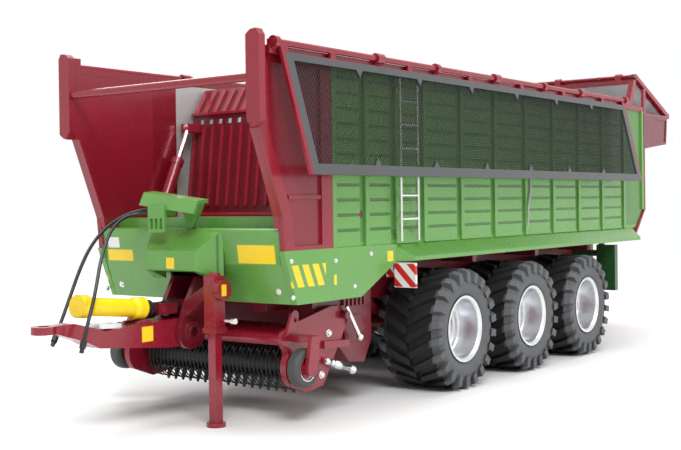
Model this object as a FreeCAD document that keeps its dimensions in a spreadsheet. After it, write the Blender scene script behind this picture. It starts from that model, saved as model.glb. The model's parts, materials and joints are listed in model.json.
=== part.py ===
"""Forage wagon, a 1:32 scale model, as a parametric FreeCAD document.

Frame: millimetres, +Z up, z = 0 on the ground, -Y towards the drawbar, +X the
wagon's left side, origin under the middle of the overall box.
Every length lives in the sheet "Sizes"; each object is tied to it by expressions.
"""
import FreeCAD
import Part
import Sketcher
import math
import os

Vector = FreeCAD.Vector

SIZES = [
    # running gear
    ("tyre_dia", 40.0, "tyre over its lugs"),
    ("tyre_wid", 23.6, "tyre section width"),
    ("tyre_face", 45.0, "outer side of the tyres from the middle"),
    ("tread_wid", 19.0, "flat of the tread"),
    ("lug_high", 1.5, "lugs stand out of the tread"),
    ("lug_thk", 2.3, "lug, along the tread"),
    ("lug_sweep", 4.8, "lugs lead at the tread's middle by this"),
    ("bead_dia", 20.4, "tyre seat on the rim"),
    ("rim_wid", 19.6, "rim between its flanges"),
    ("flange_dia", 22.0, "rim flange"),
    ("flange_thk", 0.8, "rim flange thickness"),
    ("rim_wall", 0.7, "rim barrel wall"),
    ("disc_thk", 1.2, "wheel disc"),
    ("hub_dia", 6.8, "wheel hub"),
    ("hub_run", 7.0, "hub from the wheel disc inwards"),
    ("spindle_dia", 4.0, "axle spindle"),
    ("run_gap", 0.05, "radial running clearance of shafts"),
    ("axle_pitch", 48.5, "distance between axles"),
    ("mid_axle", 14.5, "middle axle from the origin"),
    ("beam_dia", 6.0, "axle beam"),
    ("spring_x", 18.0, "middle of a leaf spring"),
    ("spring_wid", 4.0, "leaf width"),
    ("spring_run", 36.0, "leaf spring length"),
    ("leaf_thk", 0.9, "one leaf"),
    # body; heights over the sill's lower edge, which clears the tyres
    ("sill_clear", 3.8, "sill over the tyres"),
    ("body_half", 37.5, "outer face of the wall posts"),
    ("post_proud", 0.8, "posts stand out of the wall sheet"),
    ("post_wid", 2.0, "wall post"),
    ("wall_thk", 1.0, "wall sheet"),
    ("plank_proud", 0.55, "planks stand out of the sheet"),
    ("plank_high", 4.45, "planks apart"),
    ("groove", 0.9, "groove between planks"),
    ("plank_gap", 2.8, "planks end before the next post by this"),
    ("floor_top", 4.0, "loading floor"),
    ("floor_thk", 2.0, "floor plate"),
    ("wall_foot", 5.5, "lower edge of the wall panels"),
    ("wall_top", 58.5, "upper edge of the wall panels"),
    ("front_end", -119.7, "front of the body at its foot"),
    ("head_front", -132.4, "front of the head posts"),
    ("head_foot", 38.7, "foot of the head posts"),
    ("head_top", 64.6, "top of the head posts"),
    ("head_deep", 2.6, "head post, front to back"),
    ("head_wide", 4.6, "head post, across"),
    ("head_proud", 2.5, "head posts stand out of the wall posts"),
    ("knee_up", 14.8, "knee of the front edge"),
    ("frame_wid", 4.2, "frame of the red front panel"),
    ("panel_rib", 20.2, "middle of the front panel's rib"),
    ("green_from", -97.7, "red front panel meets the green wall"),
    ("bay_short", 16.4, "short bays of the wall"),
    ("bay_long", 23.66, "long bays of the wall"),
    ("wall_end", 140.8, "rear edge of the walls"),
    ("tail_kink", 13.6, "rear edge turns in below this height"),
    ("tail_foot", 127.0, "rear lower corner of the body"),
    ("sill_proud", 3.5, "sill stands out of the wall posts"),
    ("sill_lip", 1.3, "height of the sill's outer face"),
    ("sill_depth", 4.0, "sill under the wall"),
    ("sill_mitre", 5.2, "sill's front end is mitred by this"),
    ("skirt_drop", 9.6, "skirt below the sill"),
    ("skirt_rear", -65.0, "rear end of the skirt"),
    ("skirt_knee", -84.0, "skirt's lower edge ends here"),
    ("rail_up", 60.7, "top of the side rail"),
    ("rail_proud", 2.0, "side rail stands out of the wall posts"),
    ("rail_end", 121.0, "rear end of the side rail"),
    # hood
    ("hood_front", -119.6, "hood front face"),
    ("hood_top", 11.6, "hood upper edge"),
    ("hood_fold", 1.4, "fold of the hood front"),
    ("hood_tuck", 5.0, "hood foot lies back by this"),
    ("hood_step", 6.6, "hood's upper edge steps back by this"),
    ("hood_rise", 3.0, "and rises by this"),
    ("hood_thk", 1.0, "hood sheet"),
    ("nose_half", 9.8, "nose lip, half width"),
    ("nose_out", 6.6, "nose lip in front of the hood"),
    ("nose_lip", 5.4, "nose lip height"),
    ("nose_deep", 5.6, "nose lip, top to bottom"),
    ("nose_root", 14.4, "nose root, half width"),
    ("bracket_out", 6.2, "hose bracket in front of the hood"),
    ("bracket_up", 8.6, "roof of the hose bracket over the hood"),
    ("bracket_tilt", 7.0, "tilt of the bracket's roof in degrees"),
    # chassis
    ("rail_mid", 18.0, "middle of a chassis rail"),
    ("rail_wid", 5.0, "chassis rail width"),
    ("chassis_drop", 13.0, "underside of the chassis rails below the sill"),
    ("chassis_front", -108.0, "front end of the chassis"),
    ("chassis_rear", 122.0, "rear end of the chassis"),
    # drawbar and jack
    ("pivot_y", -122.5, "drawbar pivot"),
    ("pivot_drop", 18.0, "drawbar pivot below the sill"),
    ("pivot_dia", 4.4, "drawbar pivot bore"),
    ("bar_half", 3.4, "drawbar half width"),
    ("bar_turn", 4.2, "radius of the drawbar's end round its pivot"),
    ("cheek_thk", 1.5, "neck plate"),
    ("boss_dia", 6.6, "boss on the neck plate"),
    ("side_gap", 0.3, "gap beside moving plates"),
    ("hitch_y", -171.3, "centre of the towing eye"),
    ("hitch_rise", 5.0, "towing eye over the pivot"),
    ("eye_dia", 6.4, "towing eye ring"),
    ("eye_bore", 3.2, "towing eye bore"),
    ("eye_thk", 2.0, "towing eye ring thickness"),
    ("jack_x", 15.6, "jack from the middle"),
    ("jack_y", -124.5, "jack"),
    ("jack_wid", 4.2, "jack tube, square"),
    ("jack_head", 1.4, "top of the jack tube below the sill"),
    ("jack_run", 16.1, "length of the jack tube"),
    ("jack_wall", 0.7, "jack tube wall"),
    ("gear_dia", 5.8, "jack gear case"),
    ("foot_dia", 5.4, "jack foot"),
    ("foot_thk", 1.2, "jack foot plate"),
    # power take-off shaft
    ("pto_y", -131.7, "joint of the drive shaft at the wagon"),
    ("pto_drop", 10.8, "drive shaft joint below the sill"),
    ("pto_rise", 6.0, "drive shaft tilt in degrees"),
    ("guard_dia", 5.0, "drive shaft guard tube"),
    ("bell_dia", 6.2, "drive shaft guard bell"),
    ("guard_run", 23.2, "guard length"),
    ("joint_run", 5.7, "cross joint length"),
    ("joint_dia", 4.8, "cross joint over its ribs"),
    # pickup; heights over the ground
    ("lift_y", -86.0, "pickup pivot"),
    ("lift_drop", 15.0, "pickup pivot below the sill"),
    ("lift_dia", 2.4, "pickup pivot pin"),
    ("house_half", 29.5, "half width of the rotor housing"),
    ("house_thk", 1.2, "rotor housing sheet"),
    ("reel_y", -101.0, "tine reel axis"),
    ("reel_z", 15.0, "tine reel height"),
    ("reel_dia", 9.0, "tine reel drum"),
    ("tine_len", 3.4, "tines stand out of the drum"),
    ("tine_wid", 0.8, "tine, across"),
    ("tine_step", 3.2, "tines apart"),
    ("crop_y", -112.2, "crop roller axis"),
    ("crop_z", 24.0, "crop roller height"),
    ("crop_dia", 3.6, "crop roller"),
    ("gauge_x", 36.0, "gauge wheel from the middle"),
    ("gauge_y", -110.6, "gauge wheel axle"),
    ("gauge_z", 16.2, "gauge wheel height"),
    ("gauge_dia", 11.2, "gauge wheel"),
    ("gauge_wid", 3.8, "gauge wheel width"),
    ("plate_thk", 1.2, "pickup side plates"),
    ("pickup_half", 31.8, "outer face of the pickup side plates"),
    # cover
    ("hinge_gap", 0.3, "cover stands off the rail"),
    ("hinge_rod", 1.8, "cover hinge rod"),
    ("cover_deep", 35.5, "cover from its hinge to its edge"),
    ("cover_lean", 6.6, "cover leans out of the vertical, degrees"),
    ("cover_front", -124.8, "front edge of the cover at its hinge"),
    ("cover_rear", 110.5, "rear edge of the cover at its hinge"),
    ("front_rake", 7.8, "front edge runs back at the foot by this"),
    ("rear_rake", 9.6, "rear edge runs back at the foot by this"),
    ("cover_thk", 1.0, "cover frame thickness"),
    ("cover_rim", 3.0, "cover frame width"),
    ("cover_arm", 1.4, "arm along each end of the cover"),
    ("cover_drop", 2.4, "cover frame starts below its hinge"),
    ("tab_step", 32.7, "stiffening tabs apart"),
    ("mesh_thk", 0.5, "cover mesh"),
    # headboard
    ("board_y", -83.4, "headboard foot"),
    ("board_z", 15.0, "headboard pivot height"),
    ("board_gap", 0.5, "headboard inside the walls"),
    ("board_thk", 1.0, "headboard sheet"),
    ("board_up", 49.0, "headboard top"),
    ("board_pin", 1.2, "headboard pin in its side plate"),
    ("pin_dia", 2.0, "headboard pin"),
    ("flap_up", 57.6, "top of the leaning flap"),
    ("board_lean", 4.4, "headboard leans back by this"),
    ("flap_back", 5.8, "flap leans back by this"),
    ("ram_x", -32.6, "headboard ram from the middle"),
    ("ram_dia", 3.8, "ram barrel"),
    ("ram_pin", 1.0, "ram pins"),
    # tail
    ("tail_hinge_y", 131.0, "tailgate hinge"),
    ("tail_hinge_z", 74.0, "tailgate hinge height"),
    ("tail_pin", 1.4, "tailgate hinge rod"),
    ("tail_rear", 174.5, "rear end of the tailgate"),
    ("tail_up", 58.0, "top of the tailgate cheeks"),
    ("tail_low", 42.6, "underside of the tailgate hood"),
    ("tail_gap", 0.4, "tailgate behind the walls"),
    ("cheek_from", 143.0, "front edge of the cheeks"),
    ("cheek_to", 170.0, "rear edge of the cheeks"),
    ("band_wid", 2.4, "tailgate band, across"),
    # hoses
    ("hose_dia", 1.0, "hose over its cover"),
    # ladder, boards and lamps
    ("ladder_y", -60.8, "middle of the ladder"),
    ("ladder_half", 4.9, "ladder half width"),
    ("ladder_out", 1.7, "ladder stands off the wall posts"),
    ("ladder_up", 56.6, "top of the ladder"),
    ("rung_step", 7.34, "rungs apart"),
    ("rung_dia", 0.9, "rung"),
    ("hazard_wid", 7.8, "hazard board width"),
    ("hazard_high", 7.7, "hazard board height"),
    ("lamp_y", 99.0, "lamp panel"),
    ("lamp_high", 19.6, "lamp panel height"),
    ("lamp_wid", 8.4, "lamp panel width"),
]

# Heights that are counted from the sill's lower edge.
OVER_SILL = (
    "floor_top", "wall_foot", "wall_top", "head_foot", "head_top", "knee_up", "panel_rib", "tail_kink",
    "rail_up", "hood_top", "hood_fold", "nose_lip", "board_z", "board_up", "flap_up", "tail_hinge_z",
    "tail_up", "tail_low", "ladder_up",
)


class Size:
    """A length with its value and with the way the sheet works it out."""

    def __init__(self, value, text):
        self.value = float(value)
        self.text = text

    def __add__(self, other):
        other = size(other)
        return Size(self.value + other.value, f"({self.text} + {other.text})")

    def __sub__(self, other):
        other = size(other)
        return Size(self.value - other.value, f"({self.text} - {other.text})")

    def __mul__(self, other):
        other = size(other)
        return Size(self.value * other.value, f"({self.text} * {other.text})")

    def __truediv__(self, other):
        other = size(other)
        return Size(self.value / other.value, f"({self.text} / {other.text})")

    def __neg__(self):
        return Size(-self.value, f"(0 - {self.text})")

    def __radd__(self, other):
        return size(other) + self

    def __rsub__(self, other):
        return size(other) - self

    def __rmul__(self, other):
        return size(other) * self


def size(number):
    """A plain number or a Size, as a Size."""
    if isinstance(number, Size):
        return number
    return Size(number, f"({number:.6g})")


doc = FreeCAD.newDocument("forage_wagon")
sheet = doc.addObject("Spreadsheet::Sheet", "Sizes")


class Named:
    """The sheet's cells as attributes, such as S.tyre_dia."""


S = Named()
for row, (alias, number, note) in enumerate(SIZES, start=1):
    sheet.set(f"A{row}", str(number))
    sheet.set(f"B{row}", note)
    sheet.setAlias(f"A{row}", alias)
    setattr(S, alias, Size(number, f"Sizes.{alias}"))
doc.recompute()

PLANES = {
    "XY": FreeCAD.Rotation(),
    "XZ": FreeCAD.Rotation(Vector(1, 0, 0), 90),
    "YZ": FreeCAD.Rotation(Vector(1, 1, 1), 120),
}
NORMALS = {"XY": Vector(0, 0, 1), "XZ": Vector(0, 1, 0), "YZ": Vector(1, 0, 0)}
AXES = {"X": Vector(1, 0, 0), "Y": Vector(0, 1, 0), "Z": Vector(0, 0, 1)}
TURNS = {
    "X": FreeCAD.Rotation(Vector(0, 1, 0), 90),
    "Y": FreeCAD.Rotation(Vector(1, 0, 0), -90),
    "Z": FreeCAD.Rotation(),
}
parts = []


def tie(obj, prop, length):
    obj.setExpression(prop, size(length).text)


def tie_base(obj, place, prop="Placement.Base"):
    for letter, length in zip("xyz", place):
        tie(obj, f"{prop}.{letter}", length)


def block(x, y, z):
    """A box between two limits on each axis."""
    box = doc.addObject("Part::Box", "Block")
    for prop, (low, high) in (("Length", x), ("Width", y), ("Height", z)):
        tie(box, prop, size(high) - low)
    tie_base(box, (x[0], y[0], z[0]))
    return box


def rod(axis, start, run, dia):
    """A round bar from a start point along X, Y or Z."""
    bar = doc.addObject("Part::Cylinder", "Rod")
    bar.Placement = FreeCAD.Placement(Vector(), TURNS[axis])
    tie(bar, "Radius", size(dia) / 2)
    tie(bar, "Height", run)
    tie_base(bar, start)
    return bar


def cross_rod(half, y, z, dia):
    """A round bar across the wagon, alike on both sides."""
    return rod("X", (-size(half), y, z), size(half) * 2, dia)


class Via(tuple):
    """A point that an arc runs through on its way between two corners."""


def via(a, b):
    return Via((a, b))


def outline(plane, points, offset=0):
    """A closed outline in one plane, each point tied to the sheet."""
    sketch = doc.addObject("Sketcher::SketchObject", "Outline")
    sketch.Placement = FreeCAD.Placement(Vector(), PLANES[plane])

    def pin(kinds, index, end, place):
        for kind, length in zip(kinds, place):
            rule = Sketcher.Constraint(kind, -1, 1, index, end, length.value)
            sketch.setExpression(f"Constraints[{sketch.addConstraint(rule)}]", length.text)

    corners = []
    for point in points:
        place = (size(point[0]), size(point[1]))
        if isinstance(point, Via):
            corners[-1][1] = place
        else:
            corners.append([place, None])
    spots = [Vector(a.value, b.value, 0) for (a, b), bend in corners]
    starts = []
    for i, (place, bend) in enumerate(corners):
        here, there = spots[i], spots[(i + 1) % len(spots)]
        if bend is None:
            sketch.addGeometry(Part.LineSegment(here, there), False)
            starts.append(1)
            continue
        top = Vector(bend[0].value, bend[1].value, 0)
        left_turn = (top - here).cross(there - top).z > 0
        ends = (here, there) if left_turn else (there, here)
        sketch.addGeometry(Part.Arc(ends[0], top, ends[1]), False)
        starts.append(1 if left_turn else 2)
    count = len(corners)
    for i in range(count):
        after = (i + 1) % count
        sketch.addConstraint(Sketcher.Constraint("Coincident", i, 3 - starts[i], after, starts[after]))
    for i, (place, bend) in enumerate(corners):
        pin(("DistanceX", "DistanceY"), i, starts[i], place)
    for i, (place, bend) in enumerate(corners):
        if bend:
            mark = sketch.addGeometry(Part.Point(Vector(bend[0].value, bend[1].value, 0)), True)
            pin(("DistanceX", "DistanceY"), mark, 1, bend)
            sketch.addConstraint(Sketcher.Constraint("PointOnObject", mark, 1, i))
    along = {"XY": "z", "XZ": "y", "YZ": "x"}[plane]
    tie(sketch, f"Placement.Base.{along}", offset)
    return sketch


def plate(plane, points, low, high):
    """A flat piece: an outline, thick from low to high across its plane."""
    sketch = outline(plane, points, low)
    body = doc.addObject("Part::Extrusion", "Plate")
    body.Base = sketch
    body.DirMode = "Custom"
    body.Dir = NORMALS[plane]
    body.Solid = True
    tie(body, "LengthFwd", size(high) - low)
    return body


def turned(points, centre, axis="X"):
    """A piece turned about an axis through centre, from (along, radius) points."""
    plane = {"X": "XY", "Y": "YZ", "Z": "XZ"}[axis]
    if axis == "Z":
        points = [(r, a) for a, r in points]
    sketch = outline(plane, points)
    tie_base(sketch, centre)
    body = doc.addObject("Part::Revolution", "Turned")
    body.Source = sketch
    body.Axis = AXES[axis]
    tie_base(body, centre, "Base")
    body.Angle = 360
    body.Solid = True
    return body


def fuse(*shapes):
    body = doc.addObject("Part::MultiFuse", "Fused")
    body.Shapes = list(shapes)
    return body


def cut(base, *tools):
    body = doc.addObject("Part::Cut", "Cut")
    body.Base = base
    body.Tool = tools[0] if len(tools) == 1 else fuse(*tools)
    return body


def mirrored(source):
    """The same piece on the wagon's other side."""
    body = doc.addObject("Part::Mirroring", "Mirrored")
    body.Source = source
    body.Normal = Vector(1, 0, 0)
    return body


def both(source):
    return fuse(source, mirrored(source))


def part(label, obj):
    """Names a finished sub-part."""
    obj.Label = label
    parts.append(obj)
    return obj


def pair(stem, left):
    part(f"{stem}_left", left)
    part(f"{stem}_right", mirrored(left))


def placed(source, place, axis=None, angle=None):
    """The same piece set down at a place, turned about an axis through its origin by degrees."""
    body = doc.addObject("Part::Compound", "Placed")
    body.Links = [source]
    if axis:
        turn = size(angle)
        body.Placement = FreeCAD.Placement(Vector(), FreeCAD.Rotation(axis, turn.value))
        tie(body, "Placement.Rotation.Angle", turn)
    tie_base(body, place)
    return body


def loft(plane, sections):
    """A ruled solid through outlines, given as (offset, points)."""
    body = doc.addObject("Part::Loft", "Loft")
    body.Sections = [outline(plane, points, offset) for offset, points in sections]
    body.Solid = True
    body.Ruled = True
    return body


SILL_FOOT = S.tyre_dia + S.sill_clear
for alias in OVER_SILL:
    setattr(S, alias, SILL_FOOT + getattr(S, alias))

AXLES = {
    "front": S.mid_axle - S.axle_pitch,
    "middle": S.mid_axle,
    "rear": S.mid_axle + S.axle_pitch,
}
AXLE_Z = S.tyre_dia / 2
TRACK = S.tyre_face - S.tyre_wid / 2
BORE = S.spindle_dia / 2 + S.run_gap
PAD_TOP = AXLE_Z + S.beam_dia / 2 + 0.6
SKIN = S.body_half - S.post_proud
INNER = SKIN - S.wall_thk
SILL_OUT = S.body_half + S.sill_proud
RAIL_OUT = S.body_half + S.rail_proud
HEAD_BACK = S.head_front + S.head_deep
POST_OUT = S.body_half + S.head_proud
POST_IN = POST_OUT - S.head_wide
SKIRT_FOOT = SILL_FOOT - S.skirt_drop
FLOOR_LOW = S.floor_top - S.floor_thk
CHASSIS_FOOT = SILL_FOOT - S.chassis_drop
CHASSIS_TOP = FLOOR_LOW - 2
CHASSIS_IN = S.rail_mid - S.rail_wid / 2
CHASSIS_OUT = S.rail_mid + S.rail_wid / 2
LUGS = 22
X_AXIS = Vector(1, 0, 0)


# wheels ------------------------------------------------------------------

def lug():
    """One slanted lug at the top of a tyre, from the tread's middle down the shoulder."""
    top = S.tyre_dia / 2
    half = S.tyre_wid / 2
    low = top - S.lug_high - 1.2

    def section(middle, high, foot):
        near = middle - S.lug_thk / 2
        far = middle + S.lug_thk / 2
        high = high - middle * middle / S.tyre_dia - S.lug_thk * S.lug_thk / S.tyre_dia / 4
        return [(near, foot), (far, foot), (far, high), (near, high)]

    return loft("YZ", [
        (0.3, section(-S.lug_sweep, top, low)),
        (S.tread_wid / 2, section(size(0), top, low)),
        (half, section(size(0.5), top - 1.1, top - 4.4)),
    ])


def tyre():
    """A turned casing with a pattern of lugs, those of one side between those of the other."""
    half = S.tyre_wid / 2
    bead = S.bead_dia / 2
    seat = S.rim_wid / 2
    flange = S.flange_dia / 2
    tread = S.tyre_dia / 2 - S.lug_high
    shoulder = S.tread_wid / 2 - 0.8
    side = [(seat, bead), (seat, flange), (half - 1.2, flange + 0.9)]
    bulge = (half - 0.6, flange + 3.6)
    edge = (half - 1.1, tread - 1.6)
    points = side + [via(*bulge), edge, (shoulder, tread), (-shoulder, tread), (-edge[0], edge[1]),
                     via(-bulge[0], bulge[1])] + [(-a, r) for a, r in reversed(side)]
    casing = turned(points, (0, 0, 0))
    near = lug()
    for source, shift in ((near, 0), (mirrored(near), 0.5)):
        turns = [360 / LUGS * (step + shift) for step in range(LUGS)]
        casing = fuse(casing, *[placed(source, (0, 0, 0), X_AXIS, turn) for turn in turns])
        casing.Refine = False
    return casing


def rim():
    """A deep-dished rim, turned about the origin."""
    seat = S.rim_wid / 2
    lip = seat + S.flange_thk
    bead = S.bead_dia / 2
    flange = S.flange_dia / 2
    well = bead - S.rim_wall
    hub = S.hub_dia / 2
    points = [
        (-lip, well), (-lip, flange), (-seat, flange), (-seat, bead), (seat, bead),
        (seat, flange), (lip, flange), (lip, well + 0.7), via(lip - 0.5, well + 0.2), (lip - 1.3, well),
        (2.6, well), (2.3, well - 0.5), (1.2, well - 0.6), (0.9, well - 1.3), (0, well - 1.5),
        (0, hub + 0.8), (0.5, hub + 0.4), (1.9, hub - 0.2), (2.3, hub - 0.8), (2.3, 0), (1.0, 0),
        (1.0, BORE), (-S.hub_run, BORE), (-S.hub_run, hub), (-S.disc_thk, hub), (-S.disc_thk, well),
    ]
    return turned(points, (0, 0, 0))


def axle(y):
    inner = TRACK - S.hub_run - 1.2
    tip = TRACK + 0.7
    beam = cross_rod(inner, y, AXLE_Z, S.beam_dia)
    spindle = cross_rod(tip, y, AXLE_Z, S.spindle_dia)
    flanges = both(rod("X", (inner - 1, y, AXLE_Z), 1, S.beam_dia + 2.4))
    pad_x = (S.spring_x - S.spring_wid / 2, S.spring_x + S.spring_wid / 2)
    pads = both(block(pad_x, (y - 4, y + 4), (AXLE_Z, PAD_TOP)))
    return fuse(beam, spindle, flanges, pads)


TYRE = tyre()
RIM = rim()
for place, y in AXLES.items():
    pair(f"tyre_{place}", placed(TYRE, (TRACK, y, AXLE_Z)))
for place, y in AXLES.items():
    pair(f"rim_{place}", placed(RIM, (TRACK, y, AXLE_Z)))
for place, y in AXLES.items():
    part(f"axle_{place}", axle(y))

HANGERS = [S.mid_axle + S.axle_pitch * place for place in (-1.5, -0.5, 0.5, 1.5)]


def leaf_springs():
    """Stacked leaves over each axle, clamped by plates, with hangers between the axles."""
    across = (S.spring_x - S.spring_wid / 2, S.spring_x + S.spring_wid / 2)
    top = PAD_TOP + S.leaf_thk * 3
    pieces = []
    for y in AXLES.values():
        for step in range(3):
            reach = S.spring_run / 2 - 5 * step
            low = PAD_TOP + S.leaf_thk * (2 - step)
            pieces.append(block(across, (y - reach, y + reach), (low, low + S.leaf_thk)))
        pieces.append(block(across, (y - 3, y + 3), (top - 0.1, top + 0.8)))
    half = S.axle_pitch / 2 - S.spring_run / 2 + 1.5
    for y in HANGERS:
        side = [
            (y - half, top - 0.1), (y + half, top - 0.1), (y + half, top + 1.4), (y + 3, CHASSIS_FOOT),
            (y - 3, CHASSIS_FOOT), (y - half, top + 1.4),
        ]
        pieces.append(plate("YZ", side, across[0], across[1]))
    return both(fuse(*pieces))


part("leaf_springs", leaf_springs())


# chassis -----------------------------------------------------------------

def chassis_frame():
    """Two rails with cross members, bearers under the floor and outriggers between the wheels."""
    edge = INNER - S.sill_depth
    ends = (S.chassis_front, S.chassis_rear)
    pieces = [both(block((CHASSIS_IN, CHASSIS_OUT), ends, (CHASSIS_FOOT, CHASSIS_TOP)))]
    run = S.chassis_rear - S.chassis_front - 6
    for share in (0, 0.25, 0.45, 0.65, 0.85, 1):
        y = S.chassis_front + 3 + run * share
        pieces.append(block((-CHASSIS_IN, CHASSIS_IN), (y - 3, y + 3), (CHASSIS_FOOT + 2, CHASSIS_TOP - 1)))
    for step in range(8):
        y = S.tail_foot - 8 - S.bay_long * step
        pieces.append(block((-edge, edge), (y - 1.5, y + 1.5), (CHASSIS_TOP, FLOOR_LOW)))
    for y in HANGERS[1:]:
        arm = block((CHASSIS_OUT - 1, edge + 2), (y - 1.4, y + 1.4), (CHASSIS_TOP - 3, CHASSIS_TOP))
        pieces.append(both(arm))
    return fuse(*pieces)


part("chassis_frame", chassis_frame())


def body_floor():
    ends = (S.board_y + 1.2, S.tail_foot - 1.5)
    deck = block((-INNER, INNER), ends, (FLOOR_LOW, S.floor_top))
    slats = []
    for side in (-1, 1):
        centre = INNER * 0.5 * side
        for step in range(14):
            y = ends[0] + 8 + 15.6 * step
            span = (centre - 14, centre + 14)
            slats.append(block(span, (y, y + 1.6), (S.floor_top, S.floor_top + 0.8)))
    bulkhead = block((-INNER, INNER), (ends[0], ends[0] + 1), (S.floor_top, S.board_z - 1.4))
    return fuse(deck, bulkhead, *slats)


part("body_floor", body_floor())


# walls -------------------------------------------------------------------

DIAGONAL = (S.wall_end - S.tail_foot) / (S.tail_kink - SILL_FOOT)
WALL_REAR_FOOT = S.tail_foot + DIAGONAL * (S.wall_foot - SILL_FOOT)
POSTS = [S.green_from + S.bay_short * k for k in range(3)]
POSTS += [S.green_from + S.bay_short * 3 + S.bay_long * k for k in range(8)]


def planks():
    """Grooved planks on the wall's outer side, each bay's ending short of its rear post."""
    proud = (SKIN - 0.1, SKIN + S.plank_proud)
    edges = [S.wall_foot + 0.45 + S.plank_high * row for row in range(13)]
    edges[0] = S.wall_foot - S.groove / 2
    edges[-1] = S.wall_top + S.groove / 2
    rows = [block(proud, (POSTS[0], POSTS[-1]), (low + S.groove / 2, high - S.groove / 2))
            for low, high in zip(edges, edges[1:])]
    gaps = [block((SKIN - 1, S.body_half), (y - S.plank_gap, y), (S.wall_foot - 1, S.wall_top + 1))
            for y in POSTS[1:]]
    return cut(fuse(*rows), *gaps)


def side_wall():
    points = [
        (S.green_from, S.wall_foot), (WALL_REAR_FOOT, S.wall_foot),
        (S.wall_end, S.tail_kink), (S.wall_end, S.wall_top), (S.green_from, S.wall_top),
    ]
    pieces = [plate("YZ", points, INNER, SKIN), planks()]
    for y in POSTS:
        pieces.append(block((SKIN - 0.1, S.body_half), (y, y + S.post_wid), (S.wall_foot, S.wall_top)))
    last = (S.wall_end - S.post_wid, S.wall_end)
    pieces.append(block((SKIN - 0.1, S.body_half), last, (S.tail_kink, S.wall_top)))
    bore = rod("X", (INNER - 1, S.board_y + S.board_thk / 2, S.board_z), S.board_pin + 1,
               S.pin_dia + 2 * S.run_gap)
    return cut(fuse(*pieces), bore)


pair("side_wall", side_wall())


def front_side():
    """Red panel ahead of the planks: a sheet in a frame, with a rib and a leaning front return."""
    behind = HEAD_BACK + 2.4
    knee = S.front_end - 0.8
    edge = [(S.front_end, S.wall_foot), (knee, S.knee_up), (HEAD_BACK, S.head_foot)]
    top = S.head_top - 1.2
    sheet_points = edge + [
        (HEAD_BACK, top), (behind, top), (behind, S.wall_top), (S.green_from, S.wall_top),
        (S.green_from, S.wall_foot),
    ]
    window = [
        (S.front_end + S.frame_wid, S.wall_foot + 1.2), (knee + S.frame_wid, S.knee_up),
        (HEAD_BACK + S.frame_wid, S.head_foot), (HEAD_BACK + S.frame_wid, S.wall_top - 2.4),
        (S.green_from - S.frame_wid - 1, S.wall_top - 2.4),
        (S.green_from - S.frame_wid - 1, S.wall_foot + 1.2),
    ]
    frame = cut(plate("YZ", sheet_points, INNER, S.body_half), plate("YZ", window, SKIN, S.body_half + 1))
    rib = block((SKIN - 0.1, S.body_half - 0.2), (knee + 3, S.green_from - S.frame_wid),
                (S.panel_rib - 0.6, S.panel_rib + 0.6))
    edge_back = [(HEAD_BACK + 1.3, S.head_foot), (knee + 1.3, S.knee_up), (S.front_end + 0.9, S.hood_top)]
    front_return = plate("YZ", [(S.front_end - 0.4, S.hood_top)] + edge[1:] + edge_back,
                         POST_IN - 1.2, INNER + 0.1)
    return fuse(frame, rib, front_return)


pair("front_side", front_side())


def head_posts():
    """Posts at the head of the body, standing out of its sides, with cut corners."""
    points = [
        (POST_IN, S.head_foot + 2.6), (POST_IN + 1.6, S.head_foot), (POST_OUT - 1.6, S.head_foot + 0.4),
        (POST_OUT, S.head_foot + 1.6), (POST_OUT, S.head_top - 1.6), (POST_OUT - 1, S.head_top),
        (POST_IN + 1.6, S.head_top - 0.2), (POST_IN, S.head_top - 1.4),
    ]
    return both(plate("XZ", points, S.head_front, HEAD_BACK))


part("head_posts", head_posts())


def front_crossbar():
    """A bar with round edges between the head posts."""
    y = (S.head_front + 0.5, HEAD_BACK)
    middle = (y[0] + y[1]) / 2
    low = S.wall_top - 7.6
    high = low + 2.4
    points = [
        (y[0], low + 0.7), via(middle, low), (y[1], low + 0.7), (y[1], high - 0.7),
        via(middle, high), (y[0], high - 0.7),
    ]
    return plate("YZ", points, -POST_IN, POST_IN)


part("front_crossbar", front_crossbar())


def sills():
    """Sloping sills under the walls, mitred at the front."""
    under = INNER - S.sill_depth
    points = [
        (under, SILL_FOOT), (SILL_OUT, SILL_FOOT), (SILL_OUT, SILL_FOOT + S.sill_lip),
        (SKIN, S.wall_foot), (INNER, S.wall_foot), (INNER, SILL_FOOT + 1), (under, SILL_FOOT + 1),
    ]
    front = S.skirt_rear
    mitre = [
        (S.body_half, front), (SILL_OUT + 0.7, front + S.sill_mitre * 1.2), (SILL_OUT + 0.7, front - 1),
        (S.body_half, front - 1),
    ]
    bar = plate("XZ", points, front, S.tail_foot)
    return both(cut(bar, plate("XY", mitre, SILL_FOOT - 1, S.wall_foot + 1)))


part("sills", sills())


def skirts():
    points = [
        (S.front_end - 0.6, S.wall_foot), (S.hood_front + S.hood_tuck, SKIRT_FOOT),
        (S.skirt_knee, SKIRT_FOOT), (S.skirt_rear, SILL_FOOT), (S.skirt_rear, S.wall_foot),
    ]
    return both(plate("YZ", points, INNER, S.body_half))


part("skirts", skirts())

HOOD_STEP_Y = S.hood_front + S.hood_step
HOOD_STEP_Z = S.hood_top + S.hood_rise
HOOD_BACK = S.board_y - 1.2


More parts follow.
